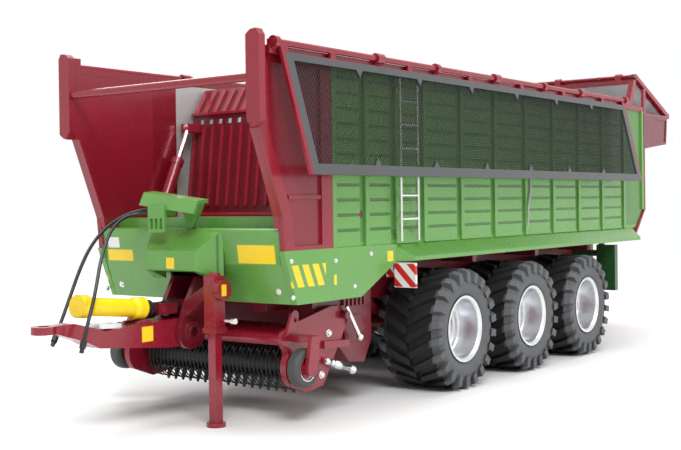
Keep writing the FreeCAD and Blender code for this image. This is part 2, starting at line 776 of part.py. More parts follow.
def hood():
    """Sheet hood over the rotor, open below, with a nose that tapers to its lip."""
    foot = S.hood_front + S.hood_tuck
    fold = S.hood_front + S.hood_tuck * 0.24
    step = HOOD_STEP_Y
    top = HOOD_STEP_Z
    outside = [
        (foot, SKIRT_FOOT), (fold, S.hood_fold), (S.hood_front, S.hood_top - 1.2),
        via(S.hood_front + 0.35, S.hood_top - 0.35), (S.hood_front + 1.2, S.hood_top), (step, S.hood_top),
        (step, top), (HOOD_BACK, top), (HOOD_BACK, SKIRT_FOOT),
    ]
    thk = S.hood_thk
    inside = [
        (foot + thk, SKIRT_FOOT - 1), (foot + thk, SKIRT_FOOT), (fold + thk, S.hood_fold),
        (S.hood_front + thk, S.hood_top - thk), (step + thk, S.hood_top - thk), (step + thk, top - thk),
        (HOOD_BACK + 1, top - thk), (HOOD_BACK + 1, SKIRT_FOOT - 1),
    ]
    shell = plate("YZ", outside, -INNER, INNER)
    hollow = plate("YZ", inside, thk - INNER, INNER - thk)
    lip_low = S.nose_lip - S.nose_deep
    nose = loft("XZ", [
        (S.hood_front + 0.5, [
            (-S.nose_root, lip_low - 3), (S.nose_root, lip_low - 3),
            (S.nose_root, S.hood_top - 0.6), (-S.nose_root, S.hood_top - 0.6)]),
        (S.hood_front - S.nose_out, [
            (-S.nose_half, lip_low), (S.nose_half, lip_low),
            (S.nose_half, S.nose_lip), (-S.nose_half, S.nose_lip)]),
    ])
    mouth = block((1 - S.nose_half, S.nose_half - 1), (S.hood_front - S.nose_out + 1, HOOD_BACK + 2),
                  (SKIRT_FOOT - 1, S.nose_lip - 1.5))
    return cut(fuse(cut(shell, hollow), nose), mouth)


part("hood", hood())


def hose_bracket():
    """A roof on a post over the nose, with the slotted holder and couplings of the hoses."""
    front = S.hood_front - S.bracket_out
    up = S.hood_top + S.bracket_up
    roof = plate("YZ", [
        (-3.2, -3.2), (-2.2, -3.2), (-1.0, -0.4), (2.6, 0), (2.6, 1), (-1.6, 0.6)], -12.6, 9.6)
    roof = placed(roof, (0, front + 3.2, up), Vector(0, 1, 0), S.bracket_tilt)
    post_y = S.hood_front + 1.2
    post = plate("XZ", [
        (-0.6, S.hood_top), (1.6, S.hood_top), (5.6, up - 1.4), (-3.4, up - 0.2),
    ], post_y, post_y + 1.2)
    stay = block((-1.4, 2.4), (front + 4, post_y + 1.2), (up - 1.0, up + 0.1))
    holder = block((-8.6, -1.8), (front - 0.6, front + 0.4), (up - 9.6, up - 1.8))
    slots = [block((x - 0.5, x + 0.5), (front - 1, front + 1), (up - 8.6, up - 5.6))
             for x in (-7.1, -5.2, -3.3)]
    couplings = block((-8.2, -3), (front - 0.3, front + 5.4), (up - 4.8, up - 2))
    return fuse(roof, post, stay, cut(holder, *slots), couplings)


part("hose_bracket", hose_bracket())


# rails and covers --------------------------------------------------------

HINGE_X = RAIL_OUT + S.hinge_gap + S.cover_thk / 2
HINGE_Z = S.rail_up + S.hinge_gap + S.cover_thk / 2
COVER_RUN = S.cover_rear - S.cover_front
HINGE_ENDS = (S.cover_front - 2.4, S.cover_rear + 2.6)


def top_rail():
    """Side rail with the eyes that carry the cover's hinge rod."""
    start = HEAD_BACK + 2.4
    low = S.wall_top
    bar = block((INNER, RAIL_OUT), (start, S.rail_end), (low, S.rail_up))
    tail = block((INNER, S.body_half), (S.rail_end, S.wall_end), (low, low + 2))
    lugs = []
    eyes = [(HINGE_ENDS[0] + 1, 0.9), (HINGE_ENDS[1] - 1, 0.9)]
    eyes += [(S.cover_front + COVER_RUN * share, 1.8) for share in (0.2, 0.51, 0.813)]
    eyes += [(S.cover_front + COVER_RUN * share, 0.9) for share in (0.34, 0.67)]
    for y, half in eyes:
        lugs.append(block((RAIL_OUT - 1.2, HINGE_X), (y - half, y + half), (S.rail_up - 1, HINGE_Z + 0.8)))
        lugs.append(rod("Y", (HINGE_X, y - half, HINGE_Z), half * 2, S.hinge_rod + 1.4))
    bore = rod("Y", (HINGE_X, S.cover_front - 5, HINGE_Z), COVER_RUN + 10, S.hinge_rod + S.run_gap * 2)
    return cut(fuse(bar, tail, *lugs), bore)


pair("top_rail", top_rail())


def front_edge(drop, inset=0):
    """A point on the cover's raked front edge, at a drop below its hinge."""
    return (S.cover_front + S.front_rake * drop / S.cover_deep + inset, -size(drop))


def rear_edge(drop, inset=0):
    return (S.cover_rear + S.rear_rake * drop / S.cover_deep - inset, -size(drop))


COVER_SIDE = S.cover_arm + S.cover_rim


def cover_opening():
    top = S.cover_drop + 2.2
    foot = S.cover_deep - S.cover_rim
    return [front_edge(top, COVER_SIDE), front_edge(foot, COVER_SIDE),
            rear_edge(foot, COVER_SIDE), rear_edge(top, COVER_SIDE)]


def cover_frame():
    """Cover frame hanging from its hinge line, which runs through the origin."""
    inner = -S.cover_thk / 2
    outer = S.cover_thk / 2
    top = S.cover_drop
    rim = [front_edge(top), front_edge(S.cover_deep), rear_edge(S.cover_deep), rear_edge(top)]
    frame = cut(plate("YZ", rim, inner, outer), plate("YZ", cover_opening(), inner - 1, outer + 1))
    hinge = rod("Y", (0, HINGE_ENDS[0], 0), HINGE_ENDS[1] - HINGE_ENDS[0], S.hinge_rod)
    arms = [
        plate("YZ", [front_edge(0), front_edge(top + 0.3), front_edge(top + 0.3, 3), front_edge(0, 3)],
              inner, outer),
        plate("YZ", [rear_edge(0), rear_edge(top + 0.3), rear_edge(top + 0.3, 3), rear_edge(0, 3)],
              inner, outer),
    ]
    for share in (0.1, 0.27, 0.43, 0.59, 0.74, 0.9):
        y = S.cover_front + COVER_RUN * share
        arms.append(block((inner, outer), (y - 1.2, y + 1.2), (-top - 0.5, 0)))
    tabs = []
    high = -(top + 2.2)
    low = S.cover_rim - S.cover_deep
    for step in range(6):
        y = S.cover_front + 35.8 + S.tab_step * step
        for middle, root, tip in ((y, high + 0.1, high - 2.2), (y + 4.6, low - 0.1, low + 2.2)):
            tab = [(middle - 1.6, root), (middle + 1.6, root), (middle, tip)]
            tabs.append(plate("YZ", tab, inner, outer))
    return fuse(frame, hinge, *arms, *tabs)


def cover_mesh():
    """The net in the cover's opening, cut round the frame's tabs."""
    return cut(plate("YZ", cover_opening(), -S.mesh_thk / 2, S.mesh_thk / 2), COVER_FRAME)


COVER_FRAME = cover_frame()
for name, flat in (("cover_frame", COVER_FRAME), ("cover_mesh", cover_mesh())):
    pair(name, placed(flat, (HINGE_X, 0, HINGE_Z), Vector(0, -1, 0), S.cover_lean))


# headboard ---------------------------------------------------------------

BOARD_HALF = INNER - S.board_gap
RAM_TOP = (S.board_y - 1.1, S.board_up - 4.9)
RAM_FOOT = (S.board_y - 13.6, HOOD_STEP_Z + 2.8)


def on_board(z, behind):
    """A point of the leaning headboard at a height, so far behind its front face."""
    share = (z - S.board_z) / (S.board_up - S.board_z)
    return (S.board_y + S.board_lean * share + behind, z)


def on_flap(z, behind):
    share = (z - S.board_up) / (S.flap_up - S.board_up)
    return (S.board_y + S.board_lean + S.flap_back * share + behind, z)


def band(place, low, high, front, back):
    """The corners of a strip along the board or the flap."""
    return [place(low, front), place(low, back), place(high, back), place(high, front)]


def headboard():
    """Ribbed and slotted headboard on a cross pin at its foot, with a flap that leans back."""
    thk = S.board_thk
    gap = BOARD_HALF / 8.4
    slots = [block((gap * (step + 0.5) - 1.1, gap * (step + 0.5) + 1.1), (S.board_y, S.board_y + 8),
                   (S.board_up - 3.6, S.board_up - 2)) for step in range(-8, 8)]
    sheet_low = band(on_board, S.board_z, S.board_up, size(0), thk)
    sheet_high = band(on_flap, S.board_up, S.flap_up, size(0), thk)
    ledge = band(on_board, S.board_up - 0.5, S.board_up + 0.4, size(-1.2), size(0.3))
    rib = band(on_board, S.board_z + 3, S.board_up - 4.4, size(-1), size(0.3))
    flap_rib = band(on_flap, S.board_up + 0.2, S.flap_up - 0.6, size(-0.9), size(0.3))
    pieces = [cut(plate("YZ", sheet_low, -BOARD_HALF, BOARD_HALF), *slots)]
    pieces += [plate("YZ", points, -BOARD_HALF, BOARD_HALF) for points in (sheet_high, ledge)]
    for step in range(-8, 9):
        x = gap * step
        pieces.append(plate("YZ", rib, x - 0.5, x + 0.5))
        pieces.append(plate("YZ", flap_rib, x - 0.8, x + 0.8))
    pieces.append(cross_rod(INNER + S.board_pin - 0.2, S.board_y + thk / 2, S.board_z, S.pin_dia))
    ear_y, ear_z = RAM_TOP
    ears = [block((S.ram_x + s - 0.4, S.ram_x + s + 0.4), (ear_y - 1.4, on_board(ear_z, thk)[0]),
                  (ear_z - 1.4, ear_z + 1.4)) for s in (-1.5, 1.5)]
    pin = rod("X", (S.ram_x - 1.9, ear_y, ear_z), 3.8, S.ram_pin)
    return fuse(*pieces, *ears, pin)


part("headboard", headboard())


def ram_seat():
    """Ears on the hood, with the pin of the headboard ram."""
    y, z = RAM_FOOT
    ears = [block((S.ram_x + s - 0.4, S.ram_x + s + 0.4), (y - 1.5, y + 1.5),
                  (HOOD_STEP_Z, z + 1.5)) for s in (-2.5, 2.5)]
    base = block((S.ram_x - 2.9, S.ram_x + 2.9), (y - 2, y + 2), (HOOD_STEP_Z, HOOD_STEP_Z + 0.8))
    pin = rod("X", (S.ram_x - 2.9, y, z), 5.8, S.ram_pin)
    return fuse(*ears, base, pin)


part("ram_seat", ram_seat())


def reach(start, end):
    """The distance between two points of a plane."""
    run, rise = end[0] - start[0], end[1] - start[1]
    return Size(math.hypot(run.value, rise.value), f"sqrt({run.text}^2 + {rise.text}^2)")


def slope(start, end):
    """The angle out of the vertical of the line between two points."""
    run, rise = end[0] - start[0], end[1] - start[1]
    return Size(math.degrees(math.atan2(run.value, rise.value)), f"atan2({run.text}; {rise.text})")


RAM_RUN = reach(RAM_FOOT, RAM_TOP)
RAM_LEAN = slope(RAM_FOOT, RAM_TOP)
BARREL_RUN = RAM_RUN * 0.62


def ram_barrel():
    """Barrel with its gland, standing on its eye at the origin."""
    wall = S.ram_dia / 2
    end = BARREL_RUN
    tube = turned([
        (1.0, 0), (1.0, wall), (end - 2.4, wall), (end - 2.4, wall + 0.25), (end - 0.6, wall + 0.25),
        (end, wall - 0.3), (end, 0.9), (3.0, 0.9), (3.0, 0)], (0, 0, 0), "Z")
    eye = rod("X", (-1.6, 0, 0), 3.2, 3.2)
    hole = rod("X", (-2, 0, 0), 4, S.ram_pin + S.run_gap * 2)
    return cut(fuse(eye, tube), hole)


def ram_rod():
    start = 9.0
    stem = rod("Z", (0, 0, start - RAM_RUN), RAM_RUN - start, 1.7)
    eye = rod("X", (-1.0, 0, 0), 2.0, 2.8)
    hole = rod("X", (-2, 0, 0), 4, S.ram_pin + 0.4)
    return cut(fuse(eye, stem), hole)


part("ram_barrel", placed(ram_barrel(), (S.ram_x, *RAM_FOOT), Vector(-1, 0, 0), RAM_LEAN))
part("ram_rod", placed(ram_rod(), (S.ram_x, *RAM_TOP), Vector(-1, 0, 0), RAM_LEAN))


# tail --------------------------------------------------------------------

def rear_bow():
    """Fixed bow that carries the tailgate's hinge."""
    y = S.tail_hinge_y
    foot = S.wall_top + 2
    top = S.tail_hinge_z - 1.8
    legs = [(y - 6.4, foot), (y - 2.6, foot), (y + 1.6, top), (y - 1.2, top)]
    leg = plate("YZ", legs, INNER - 0.4, S.body_half)
    shoe = block((INNER - 0.4, S.body_half), (S.rail_end, y - 2.6), (foot, foot + 2))
    bar = block((-S.body_half, S.body_half), (y - 1.6, y + 1.6), (top - 1.6, top))
    eyes = []
    for share in (-0.8, 0, 0.8):
        x = S.body_half * share
        eyes.append(block((x - 1.5, x + 1.5), (y - 1.4, y + 1.4), (top - 0.2, S.tail_hinge_z)))
        eyes.append(rod("X", (x - 1.5, y, S.tail_hinge_z), 3, S.tail_pin * 2))
    bore = cross_rod(S.body_half + 1, y, S.tail_hinge_z, S.tail_pin + S.run_gap * 2)
    return cut(fuse(both(leg), both(shoe), bar, *eyes), bore)


part("rear_bow", rear_bow())


def tailgate():
    """Hinged bands, cheeks and folded door, all swinging about the bow's rod."""
    y = S.tail_hinge_y
    z = S.tail_hinge_z
    half = S.body_half
    inner = half - S.band_wid
    rear = S.tail_rear
    rod_bar = cross_rod(half, y, z, S.tail_pin)
    band = [
        (y + 1.9, z - 0.9), (rear - 1, S.tail_up - 1.2), (rear, S.tail_up - 1.2), (rear, S.tail_up + 0.8),
        (y + 1.9, z + 1.1),
    ]
    arm_y = (y - S.tail_pin / 2, y + 3.4)
    arm_z = (z - 0.6, z + 0.6)
    arms = [block((half * share - 1, half * share + 1), arm_y, arm_z) for share in (-0.55, 0.55)]
    arms.append(both(block((inner, half), arm_y, arm_z)))
    head = block((-half, half), (y + 1.9, y + 4.4), (z - 1.6, z + 0.2))
    cheek = [
        (S.cheek_from, S.tail_low - 1), (S.cheek_to, S.tail_low + 1.8), (S.cheek_to + 1.6, S.tail_up - 1),
        (rear - 1, S.tail_up - 1), (rear - 1, S.tail_up), (S.cheek_from, S.tail_up),
    ]
    step = [
        (S.cheek_from + 12, S.tail_low + 0.2), (S.cheek_to, S.tail_low + 1.8),
        (S.cheek_to + 1.4, S.tail_up - 2.4), (S.cheek_from + 12, S.tail_up - 2.4),
    ]
    cheeks = cut(plate("YZ", cheek, half - 1.2, half), plate("YZ", step, half - 0.4, half + 1))
    start = S.wall_end + S.tail_gap
    door = [
        (S.tail_foot + 0.6, SILL_FOOT), (S.tail_foot + 2.0, SILL_FOOT), (start + 1.4, S.tail_kink),
        (start + 1.4, S.tail_low - 1), (S.cheek_to, S.tail_low + 1.8), (S.cheek_to + 1.6, S.tail_up - 1),
        (rear - 1, S.tail_up - 1), (rear - 1, S.tail_up), (S.cheek_to + 0.6, S.tail_up),
        (S.cheek_to - 1, S.tail_low + 3), (start, S.tail_low + 0.4), (start, S.tail_kink),
    ]
    front_bar = block((half - 1.2, half), (S.cheek_from - 1.6, S.cheek_from + 1), (S.tail_low - 1, z - 5))
    rib = [
        (start + 1.0, S.tail_kink + 1), (start + 2.4, S.tail_kink + 3), (start + 2.4, S.tail_low - 3),
        (start + 1.0, S.tail_low - 1.4),
    ]
    ribs = [plate("YZ", rib, half * share - 0.8, half * share + 0.8) for share in (-0.9, -0.45, 0, 0.45, 0.9)]
    return fuse(rod_bar, both(plate("YZ", band, inner, half)), *arms, head, both(cheeks),
                plate("YZ", door, -half, half), both(front_bar), *ribs)


part("tailgate", tailgate())


def tail_mesh():
    y = S.tail_hinge_y
    half = S.body_half - S.band_wid
    points = [
        (y + 4.4, S.tail_hinge_z - 1.6), (S.tail_rear - 1, S.tail_up),
        (S.tail_rear - 1, S.tail_up + 0.6), (y + 4.4, S.tail_hinge_z - 1.0),
    ]
    return plate("YZ", points, -half, half)


part("tail_mesh", tail_mesh())


# ladder, boards, lamps ---------------------------------------------------

def ladder():
    """A ladder up the wall, behind the cover's net."""
    thk = S.rung_dia
    out = S.body_half + S.ladder_out
    low = S.wall_foot + 0.8
    sides = [S.ladder_y - S.ladder_half, S.ladder_y + S.ladder_half]
    heights = [S.wall_foot + 7.7 + S.rung_step * step for step in range(6)]
    rungs = [rod("Y", (out + thk / 2, sides[0], z), S.ladder_half * 2, thk) for z in heights]
    pieces = []
    for y in sides:
        span = (y - thk / 2, y + thk / 2)
        pieces.append(block((out, out + thk), span, (low, S.ladder_up)))
        for z in (low + 2.6, (low + S.ladder_up) / 2, S.ladder_up - 2.6):
            pieces.append(block((SKIN + S.plank_proud, out + 0.5), span, (z, z + thk)))
    return fuse(*pieces, *rungs)


part("ladder", ladder())

BEHIND_SKIRT = (S.skirt_rear + 1, S.skirt_rear + 2)


def hazard_boards():
    """Boards ahead of the front wheels, held by an arm under the sill."""
    high = SILL_FOOT - 0.4
    outer = S.body_half + 6.8
    board = block((outer - S.hazard_wid, outer), (S.skirt_rear, S.skirt_rear + 1),
                  (high - S.hazard_high, high))
    arm = block((INNER - 3, outer - S.hazard_wid + 2), BEHIND_SKIRT, (high - 4.6, high - 2.4))
    stem = block((INNER - 3, INNER - 1), BEHIND_SKIRT, (high - 4.6, SILL_FOOT))
    return both(fuse(board, arm, stem))


part("hazard_boards", hazard_boards())


def lamp_bar():
    """Lamp panels behind the rear wheels, on a bar from the chassis."""
    y = S.lamp_y
    outer = S.body_half + 3
    high = SILL_FOOT - 1.2
    panel = block((outer - S.lamp_wid, outer), (y, y + 1), (high - S.lamp_high, high))
    fold = block((outer - 0.9, outer), (y, y + 3), (high - S.lamp_high, high))
    hanger = block((INNER - 3, INNER - 1), (y + 0.9, y + 3), (high - 5, SILL_FOOT))
    bar = block((CHASSIS_OUT, INNER), (y + 0.9, y + 3), (high - 5, high - 2.4))
    return both(fuse(panel, fold, hanger, bar))


part("lamp_bar", lamp_bar())


# drawbar, jack, drive shaft ----------------------------------------------

PIVOT_Z = SILL_FOOT - S.pivot_drop
PTO_Z = SILL_FOOT - S.pto_drop


def drawbar_neck():
    """Two cheeks under the hood that carry the drawbar's pin, the jack and the shaft's stub."""
    inner = S.bar_half + S.side_gap
    outer = inner + S.cheek_thk
    y, z = S.pivot_y, PIVOT_Z
    end = S.chassis_front
    side = [
        (y + 4.2, z - 3.2), (y + 7, z + 3), (end, z + 7), (end, z + 15), (y + 2, z + 15.6), (y - 3.6, z + 6),
        (y - 4.6, z + 2.6), via(y - 4.8, z - 2.2), (y, z - 4.8), via(y + 2.4, z - 4.3),
    ]
    cheeks = both(plate("YZ", side, inner, outer))
    foot = block((-CHASSIS_OUT, CHASSIS_OUT), (end - 3, end), (z + 8, z + 15))
    pin = cross_rod(outer + 0.8, y, z, S.pivot_dia - 2 * S.run_gap)
    bosses = both(rod("X", (outer - 0.1, y, z), 0.7, S.boss_dia))
    jack_in = S.jack_x - S.jack_wid / 2
    brace = [(outer - 0.5, z + 4), (jack_in, z + 10.5), (jack_in, z + 14), (outer - 0.5, z + 9)]
    arm = plate("XZ", brace, S.jack_y - 1.2, S.jack_y + 1.2)
    boot = rod("Y", (0, S.pto_y + 3.4, PTO_Z), 4.0, S.joint_dia)
    stub = rod("Y", (0, S.pto_y + 4.6, PTO_Z), end - 3 - S.pto_y - 4.6, 4.2)
    yoke = both(block((1.8, 2.8), (S.pto_y - 1.6, S.pto_y + 5.6), (PTO_Z - 1.6, PTO_Z + 1.6)))
    gudgeon = cross_rod(4, S.pto_y, PTO_Z, 2.2 + 2 * S.run_gap)
    hollows = both(rod("X", (outer - 1.2, y, z), 3, S.pivot_dia - 1.4))
    return cut(fuse(cheeks, foot, pin, bosses, arm, stub, boot, cut(yoke, gudgeon)), hollows)


part("drawbar_neck", drawbar_neck())


def drawbar():
    """Deep beam with a round end about its pivot, tapering to the towing eye."""
    half = S.bar_half
    y, z, turn = S.pivot_y, PIVOT_Z, S.bar_turn
    tip = S.hitch_y
    eye_z = z + S.hitch_rise
    side = [
        (y, z - turn), via(y + turn, z), (y, z + turn), (y - 7, z + 4.2), (tip + 17.8, z + 3.2),
        (tip + 8.3, eye_z + 1), (tip + 2.3, eye_z + 1), (tip + 2.3, eye_z - 1), (tip + 11.3, eye_z - 4),
        (tip + 15.8, z - 1.2), (y - 7.6, z - 3.8), (y - 5.0, z - 3.8),
    ]
    beam = plate("YZ", side, -half, half)
    eye = rod("Z", (0, tip, eye_z - S.eye_thk / 2), S.eye_thk, S.eye_dia)
    hole = rod("Z", (0, tip, eye_z - 5), 10, S.eye_bore)
    bore = cross_rod(half + 1, y, z, S.pivot_dia)
    taper = [
        (half, tip + 13.3), (half, tip - 8.7), (-half, tip - 8.7), (-half, tip + 13.3), (-2.0, tip + 5.3),
        (-2.0, tip - 0.7), (2.0, tip - 0.7), (2.0, tip + 5.3),
    ]
    sides = plate("XY", taper, z - 8, z + 12)
    lug_top = z + 4.6
    lugs = both(plate("YZ", [(y - 20, z + 3), (y - 14, z + 3), (y - 14.6, lug_top), (y - 19, lug_top)],
                      half - 1.4, half - 0.4))
    return cut(fuse(cut(beam, sides), eye, lugs), hole, bore)


part("drawbar", drawbar())

JACK_TOP = SILL_FOOT - S.jack_head
JACK_FOOT = JACK_TOP - S.jack_run


def jack_tube():
    """Square jack tube with its gear case, cap, collar and locking pin."""
    half = S.jack_wid / 2
    x, y = S.jack_x, S.jack_y
    inner = half - S.jack_wall
    case_z = JACK_TOP - 4
    tube = block((x - half, x + half), (y - half, y + half), (JACK_FOOT, JACK_TOP))
    hollow = block((x - inner, x + inner), (y - inner, y + inner), (JACK_FOOT - 1, JACK_TOP - 1))
    cap = rod("Z", (x, y, JACK_TOP - 0.1), 0.9, S.jack_wid - 0.6)
    case = rod("X", (x + half - 0.1, y, case_z), 1.9, S.gear_dia)
    collar_out = half + 0.35
    collar = block((x - collar_out, x + collar_out), (y - collar_out, y + collar_out),
                   (JACK_FOOT, JACK_FOOT + 1.6))
    pin = rod("X", (x + half - 0.1, y, JACK_FOOT + 3.6), 5.4, 1.0)
    knob = rod("X", (x + half + 4.4, y, JACK_FOOT + 3.6), 1.4, 1.7)
    return fuse(cut(fuse(tube, collar), hollow), cap, case, pin, knob)


part("jack_tube", jack_tube())


def jack_leg():
    inner = S.jack_wid / 2 - S.jack_wall - S.run_gap
    x, y = S.jack_x, S.jack_y
    leg = block((x - inner, x + inner), (y - inner, y + inner), (0.6, JACK_FOOT + 2))
    foot = rod("Z", (x, y, 0), S.foot_thk, S.foot_dia)
    return fuse(leg, foot)


part("jack_leg", jack_leg())


def pto_guard():
    """Guard tube with a bell at each end, along Y from the shaft's joint at the origin."""
    far = -(S.joint_run + S.guard_run)
    near = -S.joint_run
    bell = S.bell_dia / 2
    tube = S.guard_dia / 2
    points = [
        (far, 0), (far, bell), (far + 3, bell), (far + 4.4, tube), (near - 4, tube), (near - 3, bell),
        (near, bell), (near, 0),
    ]
    return turned(points, (0, 0, 0), "Y")


def pto_joint():
    """Ribbed cover of the cross joint, and its gudgeon."""
    end = -S.joint_run
    rib = S.joint_dia / 2
    low = rib - 0.5
    ribs = []
    for step in range(3):
        at = end + step
        ribs += [(at, rib), (at + 0.5, rib), (at + 0.65, low), (at + 0.85, low)]
    points = [(end, 0)] + ribs + [(end + 3.1, low), (end + 3.5, 1.7), (1.4, 1.7), (1.4, 0)]
    return fuse(turned(points, (0, 0, 0), "Y"), cross_rod(2.8, 0, 0, 2.2))


for name, piece in (("pto_guard", pto_guard()), ("pto_joint", pto_joint())):
    part(name, placed(piece, (0, S.pto_y, PTO_Z), Vector(-1, 0, 0), S.pto_rise))


# pickup ------------------------------------------------------------------

LIFT_Z = SILL_FOOT - S.lift_drop


def rotor_housing():
    """Sheet housing round the feed rotor, with comb ridges and a six-sided cover on each side."""
    half = S.house_half
    thk = S.house_thk
    y, z = S.lift_y, LIFT_Z
    side = [
        (y - 12, z + 3), (y + 6, z - 15), (y + 14, z - 16), (y + 18, z - 9), (y + 18, z + 6),
        (y + 10, z + 12), (y - 10, z + 12),
    ]
    inner = [
        (y - 10.4, z + 3.4), (y + 6.6, z - 13.6), (y + 13.4, z - 14.6), (y + 16.6, z - 8.4),
        (y + 16.6, z + 5), (y + 10, z + 13), (y - 10.4, z + 13),
    ]
    shell = cut(plate("YZ", side, -half, half), plate("YZ", inner, thk - half, half - thk))
    notch = both(block((CHASSIS_IN, CHASSIS_OUT), (y - 24, y + 26), (CHASSIS_FOOT, CHASSIS_TOP + 4)))
    pin = rod("X", (half - 0.4, y, z), S.pickup_half - half + 2.3, S.lift_dia)
    cover = plate("YZ", [
        (y + 3.4, z - 9.2), (y + 9.8, z - 8.8), (y + 13, z - 5), (y + 11.2, z - 1), (y + 5.4, z - 0.6),
        (y + 2.6, z - 4.6)], half - 0.1, half + 0.8)
    ridges = [block((half - 0.1, half + 0.8), (y + 2.6 + 2.1 * step, y + 3.6 + 2.1 * step), (z + 2, z + 6.4))
              for step in range(6)]
    return fuse(cut(shell, notch), both(fuse(pin, cover, *ridges)))


part("rotor_housing", rotor_housing())

REEL_HALF = S.pickup_half - S.plate_thk - S.side_gap
GAUGE_PIN = 2.0
REEL_PIN = 2.0
CROP_PIN = 1.6


def pickup_frame():
    """Side plates with their guard rims, gauge wheel forks, crop guard and cross tube."""
    outer = S.pickup_half
    inner = outer - S.plate_thk
    lift_y, lift_z = S.lift_y, LIFT_Z
    reel_y, reel_z = S.reel_y, S.reel_z
    side = [
        (lift_y + 2.4, lift_z - 2), via(lift_y + 3, lift_z + 0.4), (lift_y + 2, lift_z + 2.6),
        (lift_y - 6, lift_z + 3), (S.crop_y + 4, S.crop_z + 4.6), (S.crop_y - 1.2, S.crop_z + 3),
        via(S.crop_y - 2.9, S.crop_z), (S.crop_y - 1.6, S.crop_z - 2.4),
        (reel_y - 12, reel_z + 5), via(reel_y - 13.2, reel_z), (reel_y - 11, reel_z - 4),
        (reel_y - 3, reel_z - 7), (reel_y + 5, reel_z - 6),
    ]
    plates = plate("YZ", side, inner, outer)
    bore = rod("X", (inner - 1, lift_y, lift_z), S.plate_thk + 2, S.lift_dia + 2 * S.run_gap)
    rim_path = [
        (S.crop_y - 1.6, S.crop_z - 2.4), (reel_y - 12, reel_z + 5), via(reel_y - 13.2, reel_z),
        (reel_y - 11, reel_z - 4), (reel_y - 10, reel_z - 3.2), via(reel_y - 12, reel_z),
        (reel_y - 10.8, reel_z + 5), (S.crop_y, S.crop_z - 2.4),
    ]
    rim_strip = plate("YZ", rim_path, inner, outer + 0.9)
    wheel_in = S.gauge_x - S.gauge_wid / 2
    crown = block((outer - 0.1, S.gauge_x + S.gauge_wid / 2 + 1.6), (S.gauge_y - 0.4, S.gauge_y + 3.4),
                  (S.gauge_z + 7.2, S.gauge_z + 9))
    tine_leg = plate("YZ", [
        (S.gauge_y - 2.2, S.gauge_z), via(S.gauge_y, S.gauge_z - 2.2), (S.gauge_y + 2.2, S.gauge_z),
        (S.gauge_y + 3.4, S.gauge_z + 9), (S.gauge_y - 0.4, S.gauge_z + 9),
    ], S.gauge_x + S.gauge_wid / 2 + 0.4, S.gauge_x + S.gauge_wid / 2 + 1.6)
    hub = rod("X", (outer - 0.2, S.gauge_y, S.gauge_z), wheel_in - outer + S.gauge_wid + 1.2, GAUGE_PIN)
    reel_pin = rod("X", (inner - 3, reel_y, reel_z), 3.4, REEL_PIN)
    crop_pin = rod("X", (inner - 1.6, S.crop_y, S.crop_z), 2.0, CROP_PIN)
    hanger = cut(plate("YZ", [
        (S.crop_y - 1.6, S.crop_z + 1), (S.crop_y + 3.6, S.crop_z + 3), (S.crop_y + 4.2, S.crop_z + 7),
        via(S.crop_y + 2.6, S.crop_z + 8.2), (S.crop_y + 0.8, S.crop_z + 6.6)], outer - 0.1, outer + 0.8),
        rod("X", (outer - 1, S.crop_y + 2.6, S.crop_z + 5.4), 3, 1.3))
    arm = plate("YZ", [
        (lift_y - 10.6, lift_z - 9), (lift_y - 10.6, lift_z - 6.8), (lift_y + 1.8, lift_z - 7.6),
        (lift_y + 1.8, lift_z - 9.6)], outer - 0.1, outer + 1.1)
    guard = plate("YZ", [
        (S.crop_y + 2.6, S.crop_z + 1.4), (S.crop_y + 4.6, S.crop_z + 2.6), (S.crop_y + 8, S.crop_z + 3.6),
        (S.crop_y + 8, S.crop_z + 2.8), (S.crop_y + 4.8, S.crop_z + 1.8), (S.crop_y + 3.2, S.crop_z + 0.8),
    ], -inner - 0.1, inner + 0.1)
    sides = fuse(cut(plates, bore), rim_strip, crown, tine_leg, hub, reel_pin, crop_pin, hanger, arm)
    tube = cross_rod(inner + 0.2, reel_y + 8.6, reel_z + 4, 2.4)
    return fuse(both(sides), guard, tube)


part("pickup_frame", pickup_frame())


def tine_reel():
    """Drum with six rows of tapering tines, each row half a step from the next."""
    core = cross_rod(REEL_HALF, S.reel_y, S.reel_z, S.reel_dia)
    drum = S.reel_dia / 2
    tip = drum + S.tine_len
    tine = [(-1.0, drum - 0.5), (1.0, drum - 0.5), (1.5, tip - 0.6), (1.2, tip)]
    rows = []
    for shift in (0, 0.5):
        count = 18 if shift == 0 else 17
        row = []
        for step in range(count):
            x = S.tine_step * (step - (count - 1) / 2)
            row.append(plate("YZ", tine, x - S.tine_wid / 2, x + S.tine_wid / 2))
        rows.append(fuse(*row))
    spun = [placed(rows[k % 2], (0, S.reel_y, S.reel_z), X_AXIS, 60 * k) for k in range(6)]
    bore = cross_rod(REEL_HALF + 1, S.reel_y, S.reel_z, REEL_PIN + 2 * S.run_gap)
    return cut(fuse(core, *spun), bore)


part("tine_reel", tine_reel())


def crop_roller():
    core = cross_rod(REEL_HALF, S.crop_y, S.crop_z, S.crop_dia)
    bore = cross_rod(REEL_HALF + 1, S.crop_y, S.crop_z, CROP_PIN + 2 * S.run_gap)
    return cut(core, bore)


part("crop_roller", crop_roller())


def gauge_wheel():
    half = S.gauge_wid / 2
    top = S.gauge_dia / 2
    bore = GAUGE_PIN / 2 + S.run_gap
    points = [
        (-half, bore), (-half, top - 1.2), via(-half + 0.35, top - 0.35), (1.2 - half, top),
        (half - 1.2, top), via(half - 0.35, top - 0.35), (half, top - 1.2), (half, 3.4),
        (half - 0.8, 3.0), (half - 0.8, 1.8), (half - 0.1, 1.6), (half - 0.1, bore),
    ]
    return turned(points, (S.gauge_x, S.gauge_y, S.gauge_z))


pair("gauge_wheel", gauge_wheel())


# hoses -------------------------------------------------------------------

